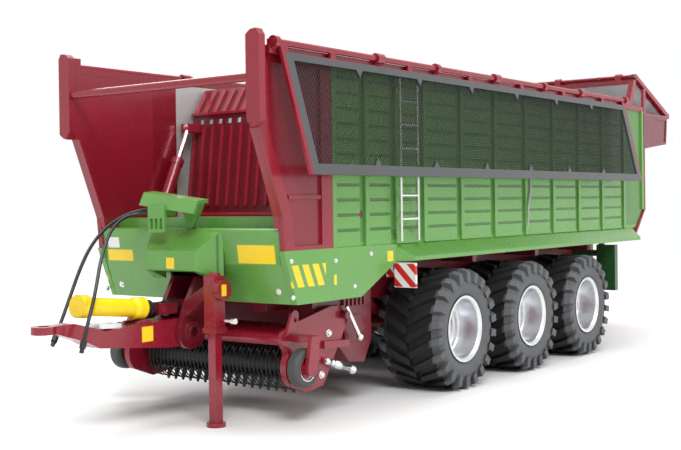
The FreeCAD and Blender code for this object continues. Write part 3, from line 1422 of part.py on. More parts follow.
HOSES = {
    "outer": [
        (-8.2, -121.4, 61.1), (-12.4, -121.4, 61.1), (-15.8, -124.4, 60.6), (-17.2, -129.6, 58.7),
        (-17.8, -135.2, 55.4), (-17.4, -140.8, 50.4), (-16.2, -145.6, 44.4), (-13.8, -150.6, 38.4),
        (-10.9, -155.9, 32.7), (-8.6, -160.4, 27.7),
    ],
    "inner": [
        (-8.2, -124.2, 60.1), (-11.2, -124.2, 60.1), (-14.1, -125.9, 59.8), (-15.3, -129.2, 58.9),
        (-14.4, -133.2, 57.2), (-11.6, -138.4, 54.6), (-7.6, -143.8, 50.9), (-3.2, -149.4, 46.7),
        (1.6, -154.8, 41.9), (5.2, -159.4, 36.8), (6.3, -162.2, 32.0), (6.4, -163.6, 27.7),
    ],
}


def hose_path(points):
    """Straight runs joined by tangent arcs, each as large as its runs allow."""
    spots = [Vector(*point) for point in points]
    edges = []
    start = spots[0]
    radii = []
    for before, corner, after in zip(spots, spots[1:], spots[2:]):
        come = (corner - before).normalize()
        go = (after - corner).normalize()
        turn = come.getAngle(go)
        set_back = 0.45 * min(before.distanceToPoint(corner), corner.distanceToPoint(after))
        radii.append(set_back / math.tan(turn / 2))
        first = corner - come * set_back
        last = corner + go * set_back
        middle = (first + last) * 0.5
        bulge = radii[-1] / math.cos(turn / 2) - radii[-1]
        top = corner + (middle - corner).normalize() * bulge
        edges.append(Part.LineSegment(start, first).toShape())
        edges.append(Part.Arc(first, top, last).toShape())
        start = last
    edges.append(Part.LineSegment(start, spots[-1]).toShape())
    return Part.Wire(edges), radii


def hose(name, points):
    """A free hose: one round tube along its route."""
    wire, radii = hose_path(points)
    radius = sheet.get("hose_dia") / 2
    heading = (Vector(*points[1]) - Vector(*points[0])).normalize()
    ring = Part.Wire([Part.makeCircle(radius, Vector(*points[0]), heading)])
    tube = wire.makePipeShell([ring], True, False)
    body = doc.addObject("Part::Feature", "Hose")
    body.Shape = tube
    ideal = math.pi * radius ** 2 * wire.Length
    print(f"hose_{name}: length {wire.Length:.1f} mm, least radius {min(radii):.1f} mm,"
          f" volume {tube.Volume / ideal:.3f} of section times length")
    return body


def hose_plug(points):
    """The connector on a hose's far end, in line with its last run."""
    end = Vector(*points[-1])
    heading = (end - Vector(*points[-2])).normalize()
    collar = Part.makeCylinder(sheet.get("hose_dia") * 0.85, 2.0, end, heading)
    tip = Part.makeCylinder(sheet.get("hose_dia") * 0.6, 1.2, end + heading * 2.0, heading)
    body = doc.addObject("Part::Feature", "Plug")
    body.Shape = collar.fuse(tip).removeSplitter()
    return body


for name, points in HOSES.items():
    part(f"hose_{name}", hose(name, points))
    part(f"hose_plug_{name}", hose_plug(points))


# check and write ---------------------------------------------------------

doc.recompute()
faults = [obj.Name for obj in doc.Objects if {"Invalid", "Error"} & set(obj.State)]
if faults:
    raise RuntimeError(f"objects that failed: {faults}")
for obj in parts:
    if obj.Shape.isNull() or not obj.Shape.isValid():
        raise RuntimeError(f"bad shape: {obj.Label}")
os.makedirs("parts", exist_ok=True)
for obj in parts:
    obj.Shape.exportStep(os.path.join("parts", f"{obj.Label}.step"))
total = sum(obj.Shape.Volume for obj in parts)
print(f"{len(parts)} parts, {total / 1000:.1f} cubic centimetres")
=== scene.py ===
"""Looks for the model forage wagon: paints, nets, bolts, wires, hoses, lamps, studio and camera.

Lengths are in millimetres, and MM turns them into metres. The frame is the wagon's own:
+Z up from the ground, -Y towards the drawbar, +X the wagon's left side.
"""
import json
import math
from collections import namedtuple

import bpy
from mathutils import Matrix, Vector


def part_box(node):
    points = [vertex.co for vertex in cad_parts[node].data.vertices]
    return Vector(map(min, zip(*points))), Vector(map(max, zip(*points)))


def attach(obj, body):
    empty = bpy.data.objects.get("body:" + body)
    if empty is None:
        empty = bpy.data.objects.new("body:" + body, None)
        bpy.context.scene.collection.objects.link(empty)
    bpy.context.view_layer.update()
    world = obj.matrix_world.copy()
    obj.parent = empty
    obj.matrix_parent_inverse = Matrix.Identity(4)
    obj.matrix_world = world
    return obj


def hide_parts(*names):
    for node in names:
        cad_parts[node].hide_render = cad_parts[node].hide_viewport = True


MM = 0.001
SIDES = (("left", 1), ("right", -1))
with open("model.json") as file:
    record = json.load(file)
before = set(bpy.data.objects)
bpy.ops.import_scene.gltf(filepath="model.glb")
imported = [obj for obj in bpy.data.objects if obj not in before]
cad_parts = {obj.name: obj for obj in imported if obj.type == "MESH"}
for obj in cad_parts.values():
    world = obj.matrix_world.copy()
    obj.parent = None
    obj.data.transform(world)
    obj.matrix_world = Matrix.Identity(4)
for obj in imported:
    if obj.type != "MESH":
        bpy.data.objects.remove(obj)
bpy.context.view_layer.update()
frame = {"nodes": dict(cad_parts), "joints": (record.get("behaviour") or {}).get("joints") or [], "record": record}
scene = bpy.context.scene
pins = {row["name"]: Vector(row["pos_m"]) / MM for row in frame["joints"] if row["type"] == "hinge"}


def box(node):
    """The lowest and highest corners of a node, in millimetres."""
    return [Vector(corner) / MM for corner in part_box(node)]


# camera: its place in millimetres, and its angles in degrees ---------------

CAMERA_PLACE = (228.8, -352.2, 62.4)
CAMERA_TURN = 36.551
CAMERA_PITCH = -0.601
CAMERA_ROLL = -0.781
CAMERA_LENS = 58.51
CAMERA_RISE = -0.0162


def make_camera():
    """The view's camera, turned from looking along +Y, pitched up and rolled."""
    turn, pitch, roll = (math.radians(angle) for angle in (CAMERA_TURN, CAMERA_PITCH, CAMERA_ROLL))
    ahead = Vector((-math.sin(turn) * math.cos(pitch), math.cos(turn) * math.cos(pitch), math.sin(pitch)))
    level = Vector((math.cos(turn), math.sin(turn), 0))
    above = level.cross(ahead)
    right = level * math.cos(roll) + above * math.sin(roll)
    up = above * math.cos(roll) - level * math.sin(roll)
    data = bpy.data.cameras.new("camera")
    data.lens = CAMERA_LENS
    data.sensor_width = 36
    data.shift_y = CAMERA_RISE
    data.clip_start = 10 * MM
    data.clip_end = 20000 * MM
    camera = bpy.data.objects.new("camera", data)
    scene.collection.objects.link(camera)
    basis = Matrix((right, up, -ahead)).transposed().to_4x4()
    camera.matrix_world = Matrix.Translation(Vector(CAMERA_PLACE) * MM) @ basis
    scene.camera = camera


make_camera()


# node trees --------------------------------------------------------------

class Graph:
    """A node tree under construction."""

    def __init__(self, tree):
        self.tree = tree

    def add(self, kind, sockets=None, **settings):
        """A new node, with its settings, and its inputs fed with values or other nodes' outputs."""
        node = self.tree.nodes.new(kind)
        for key, value in settings.items():
            setattr(node, key, value)
        for key, value in (sockets or {}).items():
            self.feed(node.inputs[key], value)
        return node

    def feed(self, socket, value):
        if isinstance(value, bpy.types.NodeSocket):
            self.tree.links.new(value, socket)
        else:
            socket.default_value = value

    def sum(self, kind, *values):
        """One sum on numbers."""
        return self.add("ShaderNodeMath", dict(enumerate(values)), operation=kind).outputs[0]


RELIEF = 0.07
COAT_ROUGHNESS = 0.16
GLOSS = 0.45


class Shader(Graph):
    """A material under construction."""

    def __init__(self, name):
        self.material = bpy.data.materials.new(name)
        self.material.use_nodes = True
        super().__init__(self.material.node_tree)
        self.tree.nodes.clear()
        self.out = self.add("ShaderNodeOutputMaterial")
        self.body = self.add("ShaderNodeBsdfPrincipled")
        self.feed(self.out.inputs["Surface"], self.body.outputs[0])
        self.place = self.add("ShaderNodeTexCoord").outputs["Object"]
        self.split = None

    def set(self, **values):
        """Feed sockets of the shader, named with underscores for spaces."""
        for key, value in values.items():
            self.feed(self.body.inputs[key.replace("_", " ")], value)

    def axes(self, mirror=False):
        """How far a point lies across, along and up, in metres; with mirror, the same on both sides."""
        if not self.split:
            self.split = self.add("ShaderNodeSeparateXYZ", {0: self.place})
        across, along, up = self.split.outputs
        if mirror:
            across = self.sum("ABSOLUTE", across)
        return across, along, up

    def noise(self, size, detail):
        """Noise whose features are about that size."""
        node = self.add("ShaderNodeTexNoise", {
            "Vector": self.place, "Scale": 1 / (size * MM), "Detail": detail, "Roughness": 0.55})
        return node.outputs["Fac"]

    def between(self, factor, low, high, start=0.3, end=0.7):
        """A number that runs from low to high as a factor runs from start to end."""
        return self.add("ShaderNodeMapRange", {
            "From Min": start, "From Max": end, "To Min": low, "To Max": high, "Value": factor}).outputs[0]

    def blend(self, factor, one, two):
        """A colour between two, by a factor."""
        return self.add(
            "ShaderNodeMix", {"Factor": factor, "A": one, "B": two}, data_type="RGBA").outputs["Result"]

    def turn(self, factor, one, two):
        """A number between two, by a factor."""
        return self.add("ShaderNodeMix", {"Factor": factor, "A": one, "B": two}, data_type="FLOAT").outputs[0]

    def relief(self, height, depth, edge):
        """Surface relief of a depth, over edges rounded by a radius."""
        bump = self.add("ShaderNodeBump", {"Strength": RELIEF, "Distance": depth * MM, "Height": height})
        if edge:
            bevel = self.add("ShaderNodeBevel", {"Radius": edge * MM}, samples=4)
            self.feed(bump.inputs["Normal"], bevel.outputs[0])
        self.set(Normal=bump.outputs[0])


# zones: each is a function of a shader, and gives 1 inside and 0 outside ---

def within(x=None, y=None, z=None, mirror=False):
    """A box between two places on each axis that is given."""
    def zone(shader):
        inside = 1.0
        for socket, span in zip(shader.axes(mirror), (x, y, z)):
            if span is None:
                continue
            low, high = span
            here = shader.sum("COMPARE", socket, (low + high) / 2 * MM, (high - low) / 2 * MM)
            inside = shader.sum("MULTIPLY", inside, here)
        return inside
    return zone


def climb(shader, x, y, z, mirror=False):
    """How far a point lies up a slope that rises by x, y and z along the axes."""
    across, along, up = shader.axes(mirror)
    total = shader.sum("MULTIPLY", across, x)
    total = shader.sum("MULTIPLY_ADD", along, y, total)
    return shader.sum("MULTIPLY_ADD", up, z, total)


def past(line, y, z):
    """Further up a slope of the side view than a line across it."""
    def zone(shader):
        return shader.sum("GREATER_THAN", climb(shader, 0.0, y, z), line * MM)
    return zone


def bars(pitch, share, x=0.0, y=0.0, z=0.0, mirror=False):
    """Parallel bars across a slope, each filling a share of the pitch."""
    def zone(shader):
        step = shader.sum("DIVIDE", climb(shader, x, y, z, mirror), pitch * MM)
        return shader.sum("LESS_THAN", shader.sum("FRACT", step), share)
    return zone


def about(pin, low, high):
    """A ring about a crosswise pin, between two radii."""
    def zone(shader):
        _, along, up = shader.axes()
        ahead = shader.sum("SUBTRACT", along, pin.y * MM)
        above = shader.sum("SUBTRACT", up, pin.z * MM)
        square = shader.sum("MULTIPLY_ADD", ahead, ahead, shader.sum("MULTIPLY", above, above))
        reach = shader.sum("SQRT", square)
        return shader.sum("COMPARE", reach, (low + high) / 2 * MM, (high - low) / 2 * MM)
    return zone


def gather(kind, start, zones):
    """One zone made of several, by a sum on what they give."""
    def zone(shader):
        inside = start
        for one in zones:
            inside = shader.sum(kind, inside, one(shader))
        return inside
    return zone


def every(*zones):
    """Where all of the zones are."""
    return gather("MULTIPLY", 1.0, zones)


def either(*zones):
    """Where any of the zones is."""
    return gather("MAXIMUM", 0.0, zones)


# finishes ----------------------------------------------------------------

Look = namedtuple("Look", "colour rough metal patchy", defaults=(0.0, 0.04))


def clouded(shader, drift, look):
    """A look's colour, a little darker and lighter in clouds."""
    darker = [min(1.0, part * (1 - look.patchy)) for part in look.colour]
    lighter = [min(1.0, part * (1 + look.patchy)) for part in look.colour]
    return shader.blend(drift, (*darker, 1), (*lighter, 1))


def finish(name, look, *zones, coat=0.35, grain=0.55, depth=0.02, edge=0.22, cloud=14):
    """A finish of one look, with other looks in zones, each a pair of zone and look."""
    shader = Shader(name)
    drift = shader.between(shader.noise(cloud, 4), 0, 1)
    scatter = shader.between(shader.noise(cloud / 3, 2), -0.02, 0.04)
    colour = clouded(shader, drift, look)
    rough, metal = look.rough, look.metal
    for zone, other in zones:
        inside = zone(shader)
        colour = shader.blend(inside, colour, clouded(shader, drift, other))
        if other.rough != look.rough:
            rough = shader.turn(inside, rough, other.rough)
        if other.metal != look.metal:
            metal = shader.turn(inside, metal, other.metal)
    shader.set(
        Base_Color=colour, Roughness=shader.sum("ADD", scatter, rough), Metallic=metal,
        Coat_Weight=coat, Coat_Roughness=COAT_ROUGHNESS, Specular_IOR_Level=GLOSS)
    shader.relief(shader.noise(grain, 1), depth, edge)
    return shader.material


GREEN = Look((0.118, 0.325, 0.062), 0.28)
# a darker green for the walls' recessed sheet: painted shade
GREEN_PAINTED_SHADE = Look((0.074, 0.215, 0.038), 0.4)
GREEN_DARK = Look((0.018, 0.075, 0.020), 0.36)
GREEN_SEAM = Look((0.060, 0.170, 0.030), 0.5)
RED = Look((0.255, 0.008, 0.022), 0.26)
# a darker red for the cheeks' recessed panels: painted shade
RED_PANEL_PAINTED_SHADE = Look((0.205, 0.007, 0.019), 0.28)
# a lighter red, painted light on the headboard's ribs
RED_LIT = Look((0.330, 0.014, 0.034), 0.24)
# a darker red, which on the headboard also paints the shade between the ribs
RED_DARK_AND_PAINTED_SHADE = Look((0.160, 0.006, 0.016), 0.32)
RED_STRIPE = Look((0.62, 0.02, 0.02), 0.36)
GREY = Look((0.066, 0.068, 0.072), 0.34)
PIPE_GREY = Look((0.34, 0.35, 0.36), 0.4)
SILVER_PAINT = Look((0.50, 0.505, 0.51), 0.42, 0.3)
BRIGHT = Look((0.80, 0.80, 0.81), 0.24, 1.0)
POLISHED = Look((0.77, 0.78, 0.80), 0.30, 0.94, 0.03)
LIP = Look((0.70, 0.70, 0.71), 0.20, 1.0, 0.03)
YELLOW = Look((0.900, 0.640, 0.010), 0.38)
YELLOW_GUARD = Look((0.93, 0.66, 0.005), 0.26)
WHITE = Look((0.80, 0.80, 0.79), 0.40)
NET_GREY = Look((0.55, 0.56, 0.56), 0.45)
BLACK = Look((0.013, 0.013, 0.014), 0.42, patchy=0.15)
HOSE_BLACK = Look((0.014, 0.014, 0.015), 0.4)
TREAD = Look((0.015, 0.015, 0.017), 0.62, patchy=0.18)
# a lighter grey for the tyres' sidewalls than for the tread: painted light
SIDEWALL_PAINTED_LIGHT = Look((0.092, 0.095, 0.101), 0.55, patchy=0.10)
GAUGE_TYRE = Look((0.060, 0.062, 0.065), 0.6)
LAMP_RED = Look((0.55, 0.01, 0.01), 0.12)
LAMP_AMBER = Look((0.85, 0.28, 0.01), 0.12)

# covers: a grey frame between a red hinge strip and two raked red ends, each by its y at the hinge
# and by how much further back it is at the foot
HINGE = pins["cover_left_swing"]
COVER_DEEP = 35.5
COVER_LEAN = math.radians(6.6)
COVER_FRONT = (-120.7, 7.8)
COVER_BACK = (106.4, 9.6)
GREY_WIDTH = 2.7
COVER_TOP = within(z=(HINGE.z - 2.5, HINGE.z + 9))


def cover_end(end, way):
    """Outside the grey frame at a raked end, which is given as its y at the hinge and its rake."""
    y_at_hinge, rake = end
    slope = way * rake / (COVER_DEEP * math.cos(COVER_LEAN))
    return past(way * y_at_hinge + slope * HINGE.z + GREY_WIDTH, y=way, z=slope)


# walls: the silver inside, and the sheet that lies deeper than the posts and planks, painted darker on the walls
# and the cheeks as painted shade in the recesses
wall_low, wall_high = box("side_wall_left")
SHEET = (wall_low.x + 0.25, wall_high.x - 0.7)
INSIDE_WALL = within(x=(0, SHEET[0]), mirror=True)
BEFORE_BOARD = within(y=(-140, box("headboard")[0].y - 1.1))
WALL_SHEET_PAINTED_SHADE = within(x=SHEET, z=(wall_low.z + 1.2, wall_high.z - 0.3), mirror=True)
CHEEK_SHEET_PAINTED_SHADE = within(x=SHEET, z=(50.2, 100.4), mirror=True)
DOOR_SIDES = every(within(x=(36.0, 38), mirror=True), within(z=(80, 101)))

# headboard: the sheet between the ribs, below and above its fold, painted darker as painted shade; the ribs are
# painted lighter as painted light
BOARD_SHEET_PAINTED_SHADE = either(
    every(past(-91.3, y=1, z=-0.1294), within(z=(55, 92.4))),
    every(past(-141.8, y=1, z=-0.6744), within(z=(93.2, 103))))

# plain patches and stripes
board_low, board_high = box("hazard_boards")
BOARD_STRIPES = every(
    within(z=(board_low.z + 0.2, board_high.z - 0.6)), bars(5.6, 0.5, x=1, z=1, mirror=True))
HOOD_FACE = (-130, -117.5)
HOOD_SEAM = within(x=(13.2, 13.65), y=(-130, -117), z=(35, 54.4))
HOOD_PATCHES = either(
    within(x=(19.5, 33.2), y=HOOD_FACE, z=(45.6, 50.8)),
    within(x=(-34.4, -23.4), y=HOOD_FACE, z=(45.4, 48.8)),
    within(x=(-1.5, 1.7), y=(-130, -123), z=(44.0, 47.2)))
HOOD_PLATE = within(x=(-33.9, -28.9), y=HOOD_FACE, z=(49.4, 52.6))
SKIRT_SKIN = (37.0, 38)
SKIRT_STRIPES = every(
    within(x=SKIRT_SKIN, y=(-117.0, -101.5), z=(39.0, 45.2), mirror=True), bars(4.6, 0.62, y=1, z=0.45))
SKIRT_PATCHES = either(
    within(x=(36, 45), y=(-70.1, -67.0), z=(44.0, 47.2), mirror=True),
    within(x=SKIRT_SKIN, y=(-97.6, -96.4), z=(38.6, 41.6), mirror=True))
SILL_PATCHES = either(
    within(x=(41.4, 44.4), y=(-17.6, -11.8), mirror=True),
    within(x=(41.2, 43.0), y=(-2.2, 4.6), mirror=True))
JACK_CRANK = within(x=(19.65, 30), z=(28, 31.6))
JACK_PATCH = within(x=(19.2, 22), y=(-125.7, -123.7), z=(36.8, 40.0))
DRAWBAR_PATCH = within(x=(3.2, 5), y=(-140.6, -136.4), z=(24.6, 28.8))
HOUSING_PATCHES = within(x=(29.0, 32), y=(-88.0, -85.8), z=(23.6, 27.0), mirror=True)
NECK_SHAFT = within(x=(-2.6, 2.6), y=(-128.6, -124.2), z=(30, 36))
JOINT_FORKS = within(x=(1.3, 5), y=(-133.6, -128), mirror=True)

# by material slot
FINISHES = {
    "green_paint": finish("green_lacquer", GREEN),
    "red_paint": finish("red_lacquer", RED),
    "chassis_paint": finish("chassis_lacquer", RED_DARK_AND_PAINTED_SHADE),
    "cover_paint": finish(
        "cover_lacquer", GREY, (COVER_TOP, RED), (cover_end(COVER_FRONT, -1), RED),
        (cover_end(COVER_BACK, 1), RED), coat=0.2),
    "floor_paint": finish("floor_lacquer", SILVER_PAINT, coat=0.1),
    "board_white": finish("board_stripes", WHITE, (BOARD_STRIPES, RED_STRIPE), coat=0.2, edge=0.1),
    "bright_steel": finish("bright_plating", BRIGHT, coat=0.0, grain=0.3, depth=0.01, edge=0.12, cloud=6),
    "mesh": finish("black_net", BLACK, coat=0.0, edge=0),
    "light_mesh": finish("light_net", NET_GREY, coat=0.0, edge=0),
    "guard_plastic": finish("yellow_guard", YELLOW_GUARD, coat=0.3, grain=0.5, depth=0.01),
    "black_plastic": finish("black_moulding", BLACK, coat=0.1, grain=0.25),
    "hose_rubber": finish("hose_rubber", HOSE_BLACK, coat=0.0, grain=0.2, edge=0, cloud=6),
}

# by node, where one has marks of its own, or painted light and shade
PIECE_FINISHES = {
    "hood": finish(
        "hood_lacquer", GREEN, (HOOD_SEAM, GREEN_SEAM), (HOOD_PATCHES, YELLOW), (HOOD_PLATE, WHITE)),
    "skirts": finish("skirt_lacquer", GREEN, (SKIRT_STRIPES, YELLOW), (SKIRT_PATCHES, YELLOW)),
    "sills": finish("sill_lacquer", GREEN, (SILL_PATCHES, YELLOW)),
    "lamp_bar": finish("lamp_panel_lacquer", GREEN_DARK),
    "tailgate": finish("tailgate_lacquer", RED, (DOOR_SIDES, RED_DARK_AND_PAINTED_SHADE)),
    # headboard: ribs in a lighter red as painted light, the sheet between them darker as painted shade
    "headboard": finish("headboard_lacquer", RED_LIT, (BOARD_SHEET_PAINTED_SHADE, RED_DARK_AND_PAINTED_SHADE)),
    "jack_tube": finish("jack_lacquer", RED, (JACK_CRANK, BRIGHT), (JACK_PATCH, YELLOW)),
    "drawbar": finish("drawbar_lacquer", RED, (DRAWBAR_PATCH, YELLOW)),
    "drawbar_neck": finish("neck_lacquer", RED_DARK_AND_PAINTED_SHADE, (NECK_SHAFT, BLACK)),
    "rotor_housing": finish("housing_lacquer", RED_DARK_AND_PAINTED_SHADE, (HOUSING_PATCHES, YELLOW)),
    "pto_joint": finish("joint_moulding", BLACK, (JOINT_FORKS, RED), coat=0.1, grain=0.25),
}


def share_between_sides(name, paint):
    """Give one finish to the left and the right node of a name."""
    for side, _ in SIDES:
        PIECE_FINISHES[f"{name}_{side}"] = paint


# the cheeks' recessed sheet gets a darker red: painted shade
share_between_sides("front_side", finish("cheek_lacquer", RED, (CHEEK_SHEET_PAINTED_SHADE, RED_PANEL_PAINTED_SHADE)))
# the walls' recessed sheet gets a darker green: painted shade
share_between_sides("side_wall", finish(
    "wall_lacquer", GREEN,
    (WALL_SHEET_PAINTED_SHADE, GREEN_PAINTED_SHADE), (INSIDE_WALL, SILVER_PAINT), (every(INSIDE_WALL, BEFORE_BOARD), RED)))

gauge_pin = pins["gauge_wheel_left_spin"]
share_between_sides("gauge_wheel", finish(
    "gauge_tyre", GAUGE_TYRE, (about(gauge_pin, 0, 3.35), RED), (about(gauge_pin, 2.95, 3.6), BRIGHT),
    coat=0.05, grain=0.4, edge=0.1))

AXLES = ("front", "middle", "rear")
TREAD_HALF = 8.6
SIDEWALL_REACH = 17.6
for axle in AXLES:
    pin = pins[f"wheel_{axle}_left_spin"]
    hub = every(about(pin, 0, 3.5), within(x=(30, 40), mirror=True))
    share_between_sides(f"rim_{axle}", finish(
        f"polished_rim_{axle}", POLISHED, (about(pin, 10.0, 11.2), LIP), (hub, RED_DARK_AND_PAINTED_SHADE),
        coat=0.0, grain=2.0, depth=0.004, edge=0, cloud=8))
    # the sidewalls get a lighter grey than the tread: painted light
    painted_light_sidewall = either(
        within(x=(pin.x + TREAD_HALF, 60), mirror=True), within(x=(0, pin.x - TREAD_HALF), mirror=True),
        about(pin, 0, SIDEWALL_REACH))
    share_between_sides(f"tyre_{axle}", finish(
        f"tyre_rubber_{axle}", TREAD, (painted_light_sidewall, SIDEWALL_PAINTED_LIGHT),
        coat=0.0, grain=0.4, depth=0.04, edge=0.12, cloud=9))

slots = {row["node"]: row["material_slot"] for row in frame["record"]["subparts"]}
for name, node in frame["nodes"].items():
    node.data.materials.clear()
    node.data.materials.append(PIECE_FINISHES.get(name) or FINISHES[slots[name]])


# pieces ------------------------------------------------------------------

def piece(name, data, paint, body):
    """A finished piece that rides on a body."""
    thing = bpy.data.objects.new(name, data)
    scene.collection.objects.link(thing)
    data.materials.clear()
    data.materials.append(paint)
    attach(thing, body)
    return thing


def mesh(name, verts, faces=(), edges=(), smooth=False):
    """A mesh of points in millimetres."""
    data = bpy.data.meshes.new(name)
    data.from_pydata([Vector(vert) * MM for vert in verts], edges, faces)
    if smooth:
        data.polygons.foreach_set("use_smooth", [True] * len(faces))
    return data


def smooth_line(name, route, thick, steps, rounding):
    """A round bar along a smooth line led by a route's points."""
    line = bpy.data.curves.new(name, "CURVE")
    line.dimensions = "3D"
    spline = line.splines.new("NURBS")
    spline.points.add(len(route) - 1)
    for point, spot in zip(spline.points, route):
        point.co = (*(Vector(spot) * MM), 1)
    spline.order_u = 3
    spline.use_endpoint_u = True
    spline.resolution_u = steps
    line.bevel_depth = thick / 2 * MM
    line.bevel_resolution = rounding
    line.use_fill_caps = True
    return line


# hoses -------------------------------------------------------------------

# each hose: its length, and its route from the bracket to the plug
HOSE_THICK = 1.0
HOSES = {
    "outer": (59.5, [
        (-8.2, -121.4, 61.1), (-12.4, -121.4, 61.1), (-15.8, -124.4, 60.6), (-17.2, -129.6, 58.7),
        (-17.8, -135.2, 55.4), (-17.4, -140.8, 50.4), (-16.2, -145.6, 44.4), (-13.8, -150.6, 38.4),
        (-10.9, -155.9, 32.7), (-8.6, -160.4, 27.7),
    ]),
    "inner": (63.0, [
        (-8.2, -124.2, 60.1), (-11.2, -124.2, 60.1), (-14.1, -125.9, 59.8), (-15.3, -129.2, 58.9),
        (-14.4, -133.2, 57.2), (-11.6, -138.4, 54.6), (-7.6, -143.8, 50.9), (-3.2, -149.4, 46.7),
        (1.6, -154.8, 41.9), (5.2, -159.4, 36.8), (6.3, -162.2, 32.0), (6.4, -163.6, 27.7),
    ]),
}


def make_hose(name, route):
    """A hydraulic hose from the bracket on the hood down to its plug."""
    full_name = f"hydraulic_hose_{name}"
    line = smooth_line(full_name, route, HOSE_THICK, steps=8, rounding=4)
    hose = piece(full_name, line, FINISHES["hose_rubber"], "root")
    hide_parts(f"hose_{name}")


for name, (length, route) in HOSES.items():
    make_hose(name, route)


# geometry nodes ----------------------------------------------------------

FLOAT = "NodeSocketFloat"
WHOLE = "NodeSocketInt"
ARROW = "NodeSocketVector"
PAINT = "NodeSocketMaterial"
LAYER_OFF = 0.45


class Tree(Graph):
    """A Geometry Nodes tree under construction, with named inputs."""

    def __init__(self, name, **inputs):
        super().__init__(bpy.data.node_groups.new(name, "GeometryNodeTree"))
        self.tree.interface.new_socket("Geometry", in_out="INPUT", socket_type="NodeSocketGeometry")
        self.tree.interface.new_socket("Geometry", in_out="OUTPUT", socket_type="NodeSocketGeometry")
        self.keys = {}
        for key, kind in inputs.items():
            socket = self.tree.interface.new_socket(key, in_out="INPUT", socket_type=kind)
            self.keys[key] = socket.identifier
        self.entry = self.add("NodeGroupInput")

    def __getitem__(self, key):
        """The output that an input's value comes from."""
        return self.entry.outputs[key]

    def geometry(self, kind, **sockets):
        """A geometry node fed by its inputs' names, with underscores for spaces."""
        return self.add(f"GeometryNode{kind}", {
            key.replace("_", " "): value for key, value in sockets.items()}).outputs[0]

    def arrow(self, kind, one, two):
        """A sum on two vectors."""
        return self.add("ShaderNodeVectorMath", {0: one, 1: two}, operation=kind).outputs[0]

    def scaled(self, arrow, share):
        """A vector times a number."""
        return self.add("ShaderNodeVectorMath", {0: arrow, "Scale": share}, operation="SCALE").outputs[0]

    def between(self, factor, one, two):
        """A place between two, by a factor."""
        return self.arrow("ADD", one, self.scaled(self.arrow("SUBTRACT", two, one), factor))

    def join(self, *parts):
        """Several geometries as one."""
        node = self.add("GeometryNodeJoinGeometry")
        for part in parts:
            self.feed(node.inputs[0], part)
        return node.outputs[0]

    def close(self, geometry):
        """End the tree: instances made real, and the finish set."""
        real = self.geometry("RealizeInstances", Geometry=geometry)
        self.add("NodeGroupOutput", {0: self.geometry("SetMaterial", Geometry=real, Material=self["finish"])})
        return self

    def grow(self, name, base, body, paint, slot, **values):
        """The plain mesh that the tree makes of a base mesh, riding on a body."""
        thing = bpy.data.objects.new(name, base)
        scene.collection.objects.link(thing)
        modifier = thing.modifiers.new("grow", "NODES")
        modifier.node_group = self.tree
        modifier[self.keys["finish"]] = paint
        for key, value in values.items():
            modifier[self.keys[key]] = value
        graph = bpy.context.evaluated_depsgraph_get()
        grown = bpy.data.meshes.new_from_object(thing.evaluated_get(graph))
        thing.modifiers.remove(modifier)
        grown.name = name
        thing.data = grown
        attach(thing, body)
        return thing


def make_net_tree():
    """Wires over a four-cornered opening, in two layers that cross.

    Wire by wire, the first end walks along the top and then down the far side,
    and the last end down the near side and then along the foot.
    """
    tree = Tree("crossing_wires", near_top=ARROW, far_top=ARROW, near_foot=ARROW, far_foot=ARROW, out=ARROW,
                columns=WHOLE, rows=WHOLE, wire=FLOAT, finish=PAINT)
    columns, rows = tree["columns"], tree["rows"]
    count = tree.sum("SUBTRACT", tree.sum("ADD", columns, rows), 1)
    places = tree.geometry("MeshLine", Count=count)
    ends = tree.geometry("MeshLine", Count=2)
    wires = tree.geometry("RealizeInstances", Geometry=tree.geometry(
        "InstanceOnPoints", Points=places, Instance=ends))
    index = tree.geometry("InputIndex")
    number = tree.sum("ADD", tree.sum("FLOOR", tree.sum("DIVIDE", index, 2)), 1)
    end = tree.sum("FLOORED_MODULO", index, 2)
    first = (tree.sum("MINIMUM", number, columns),
             tree.sum("MAXIMUM", tree.sum("SUBTRACT", number, columns), 0))
    last = (tree.sum("MAXIMUM", tree.sum("SUBTRACT", number, rows), 0),
            tree.sum("MINIMUM", number, rows))
    shares = []
    for start, stop, total in zip(first, last, (columns, rows)):
        here = tree.sum("MULTIPLY_ADD", tree.sum("SUBTRACT", stop, start), end, start)
        shares.append(tree.sum("DIVIDE", here, total))
    along, down = shares
    ring = tree.geometry("CurvePrimitiveCircle", Resolution=4, Radius=tree.sum("DIVIDE", tree["wire"], 2))
    layers = []
    for share, side in ((along, 1), (tree.sum("SUBTRACT", 1, along), -1)):
        top = tree.between(share, tree["near_top"], tree["far_top"])
        foot = tree.between(share, tree["near_foot"], tree["far_foot"])
        off = tree.scaled(tree["out"], tree.sum("MULTIPLY", tree["wire"], side * LAYER_OFF))
        place = tree.arrow("ADD", tree.between(down, top, foot), off)
        laid = tree.geometry("SetPosition", Geometry=wires, Position=place)
        curve = tree.geometry("MeshToCurve", Mesh=laid)
        layers.append(tree.geometry("CurveToMesh", Curve=curve, Profile_Curve=ring))
    return tree.close(tree.join(*layers))


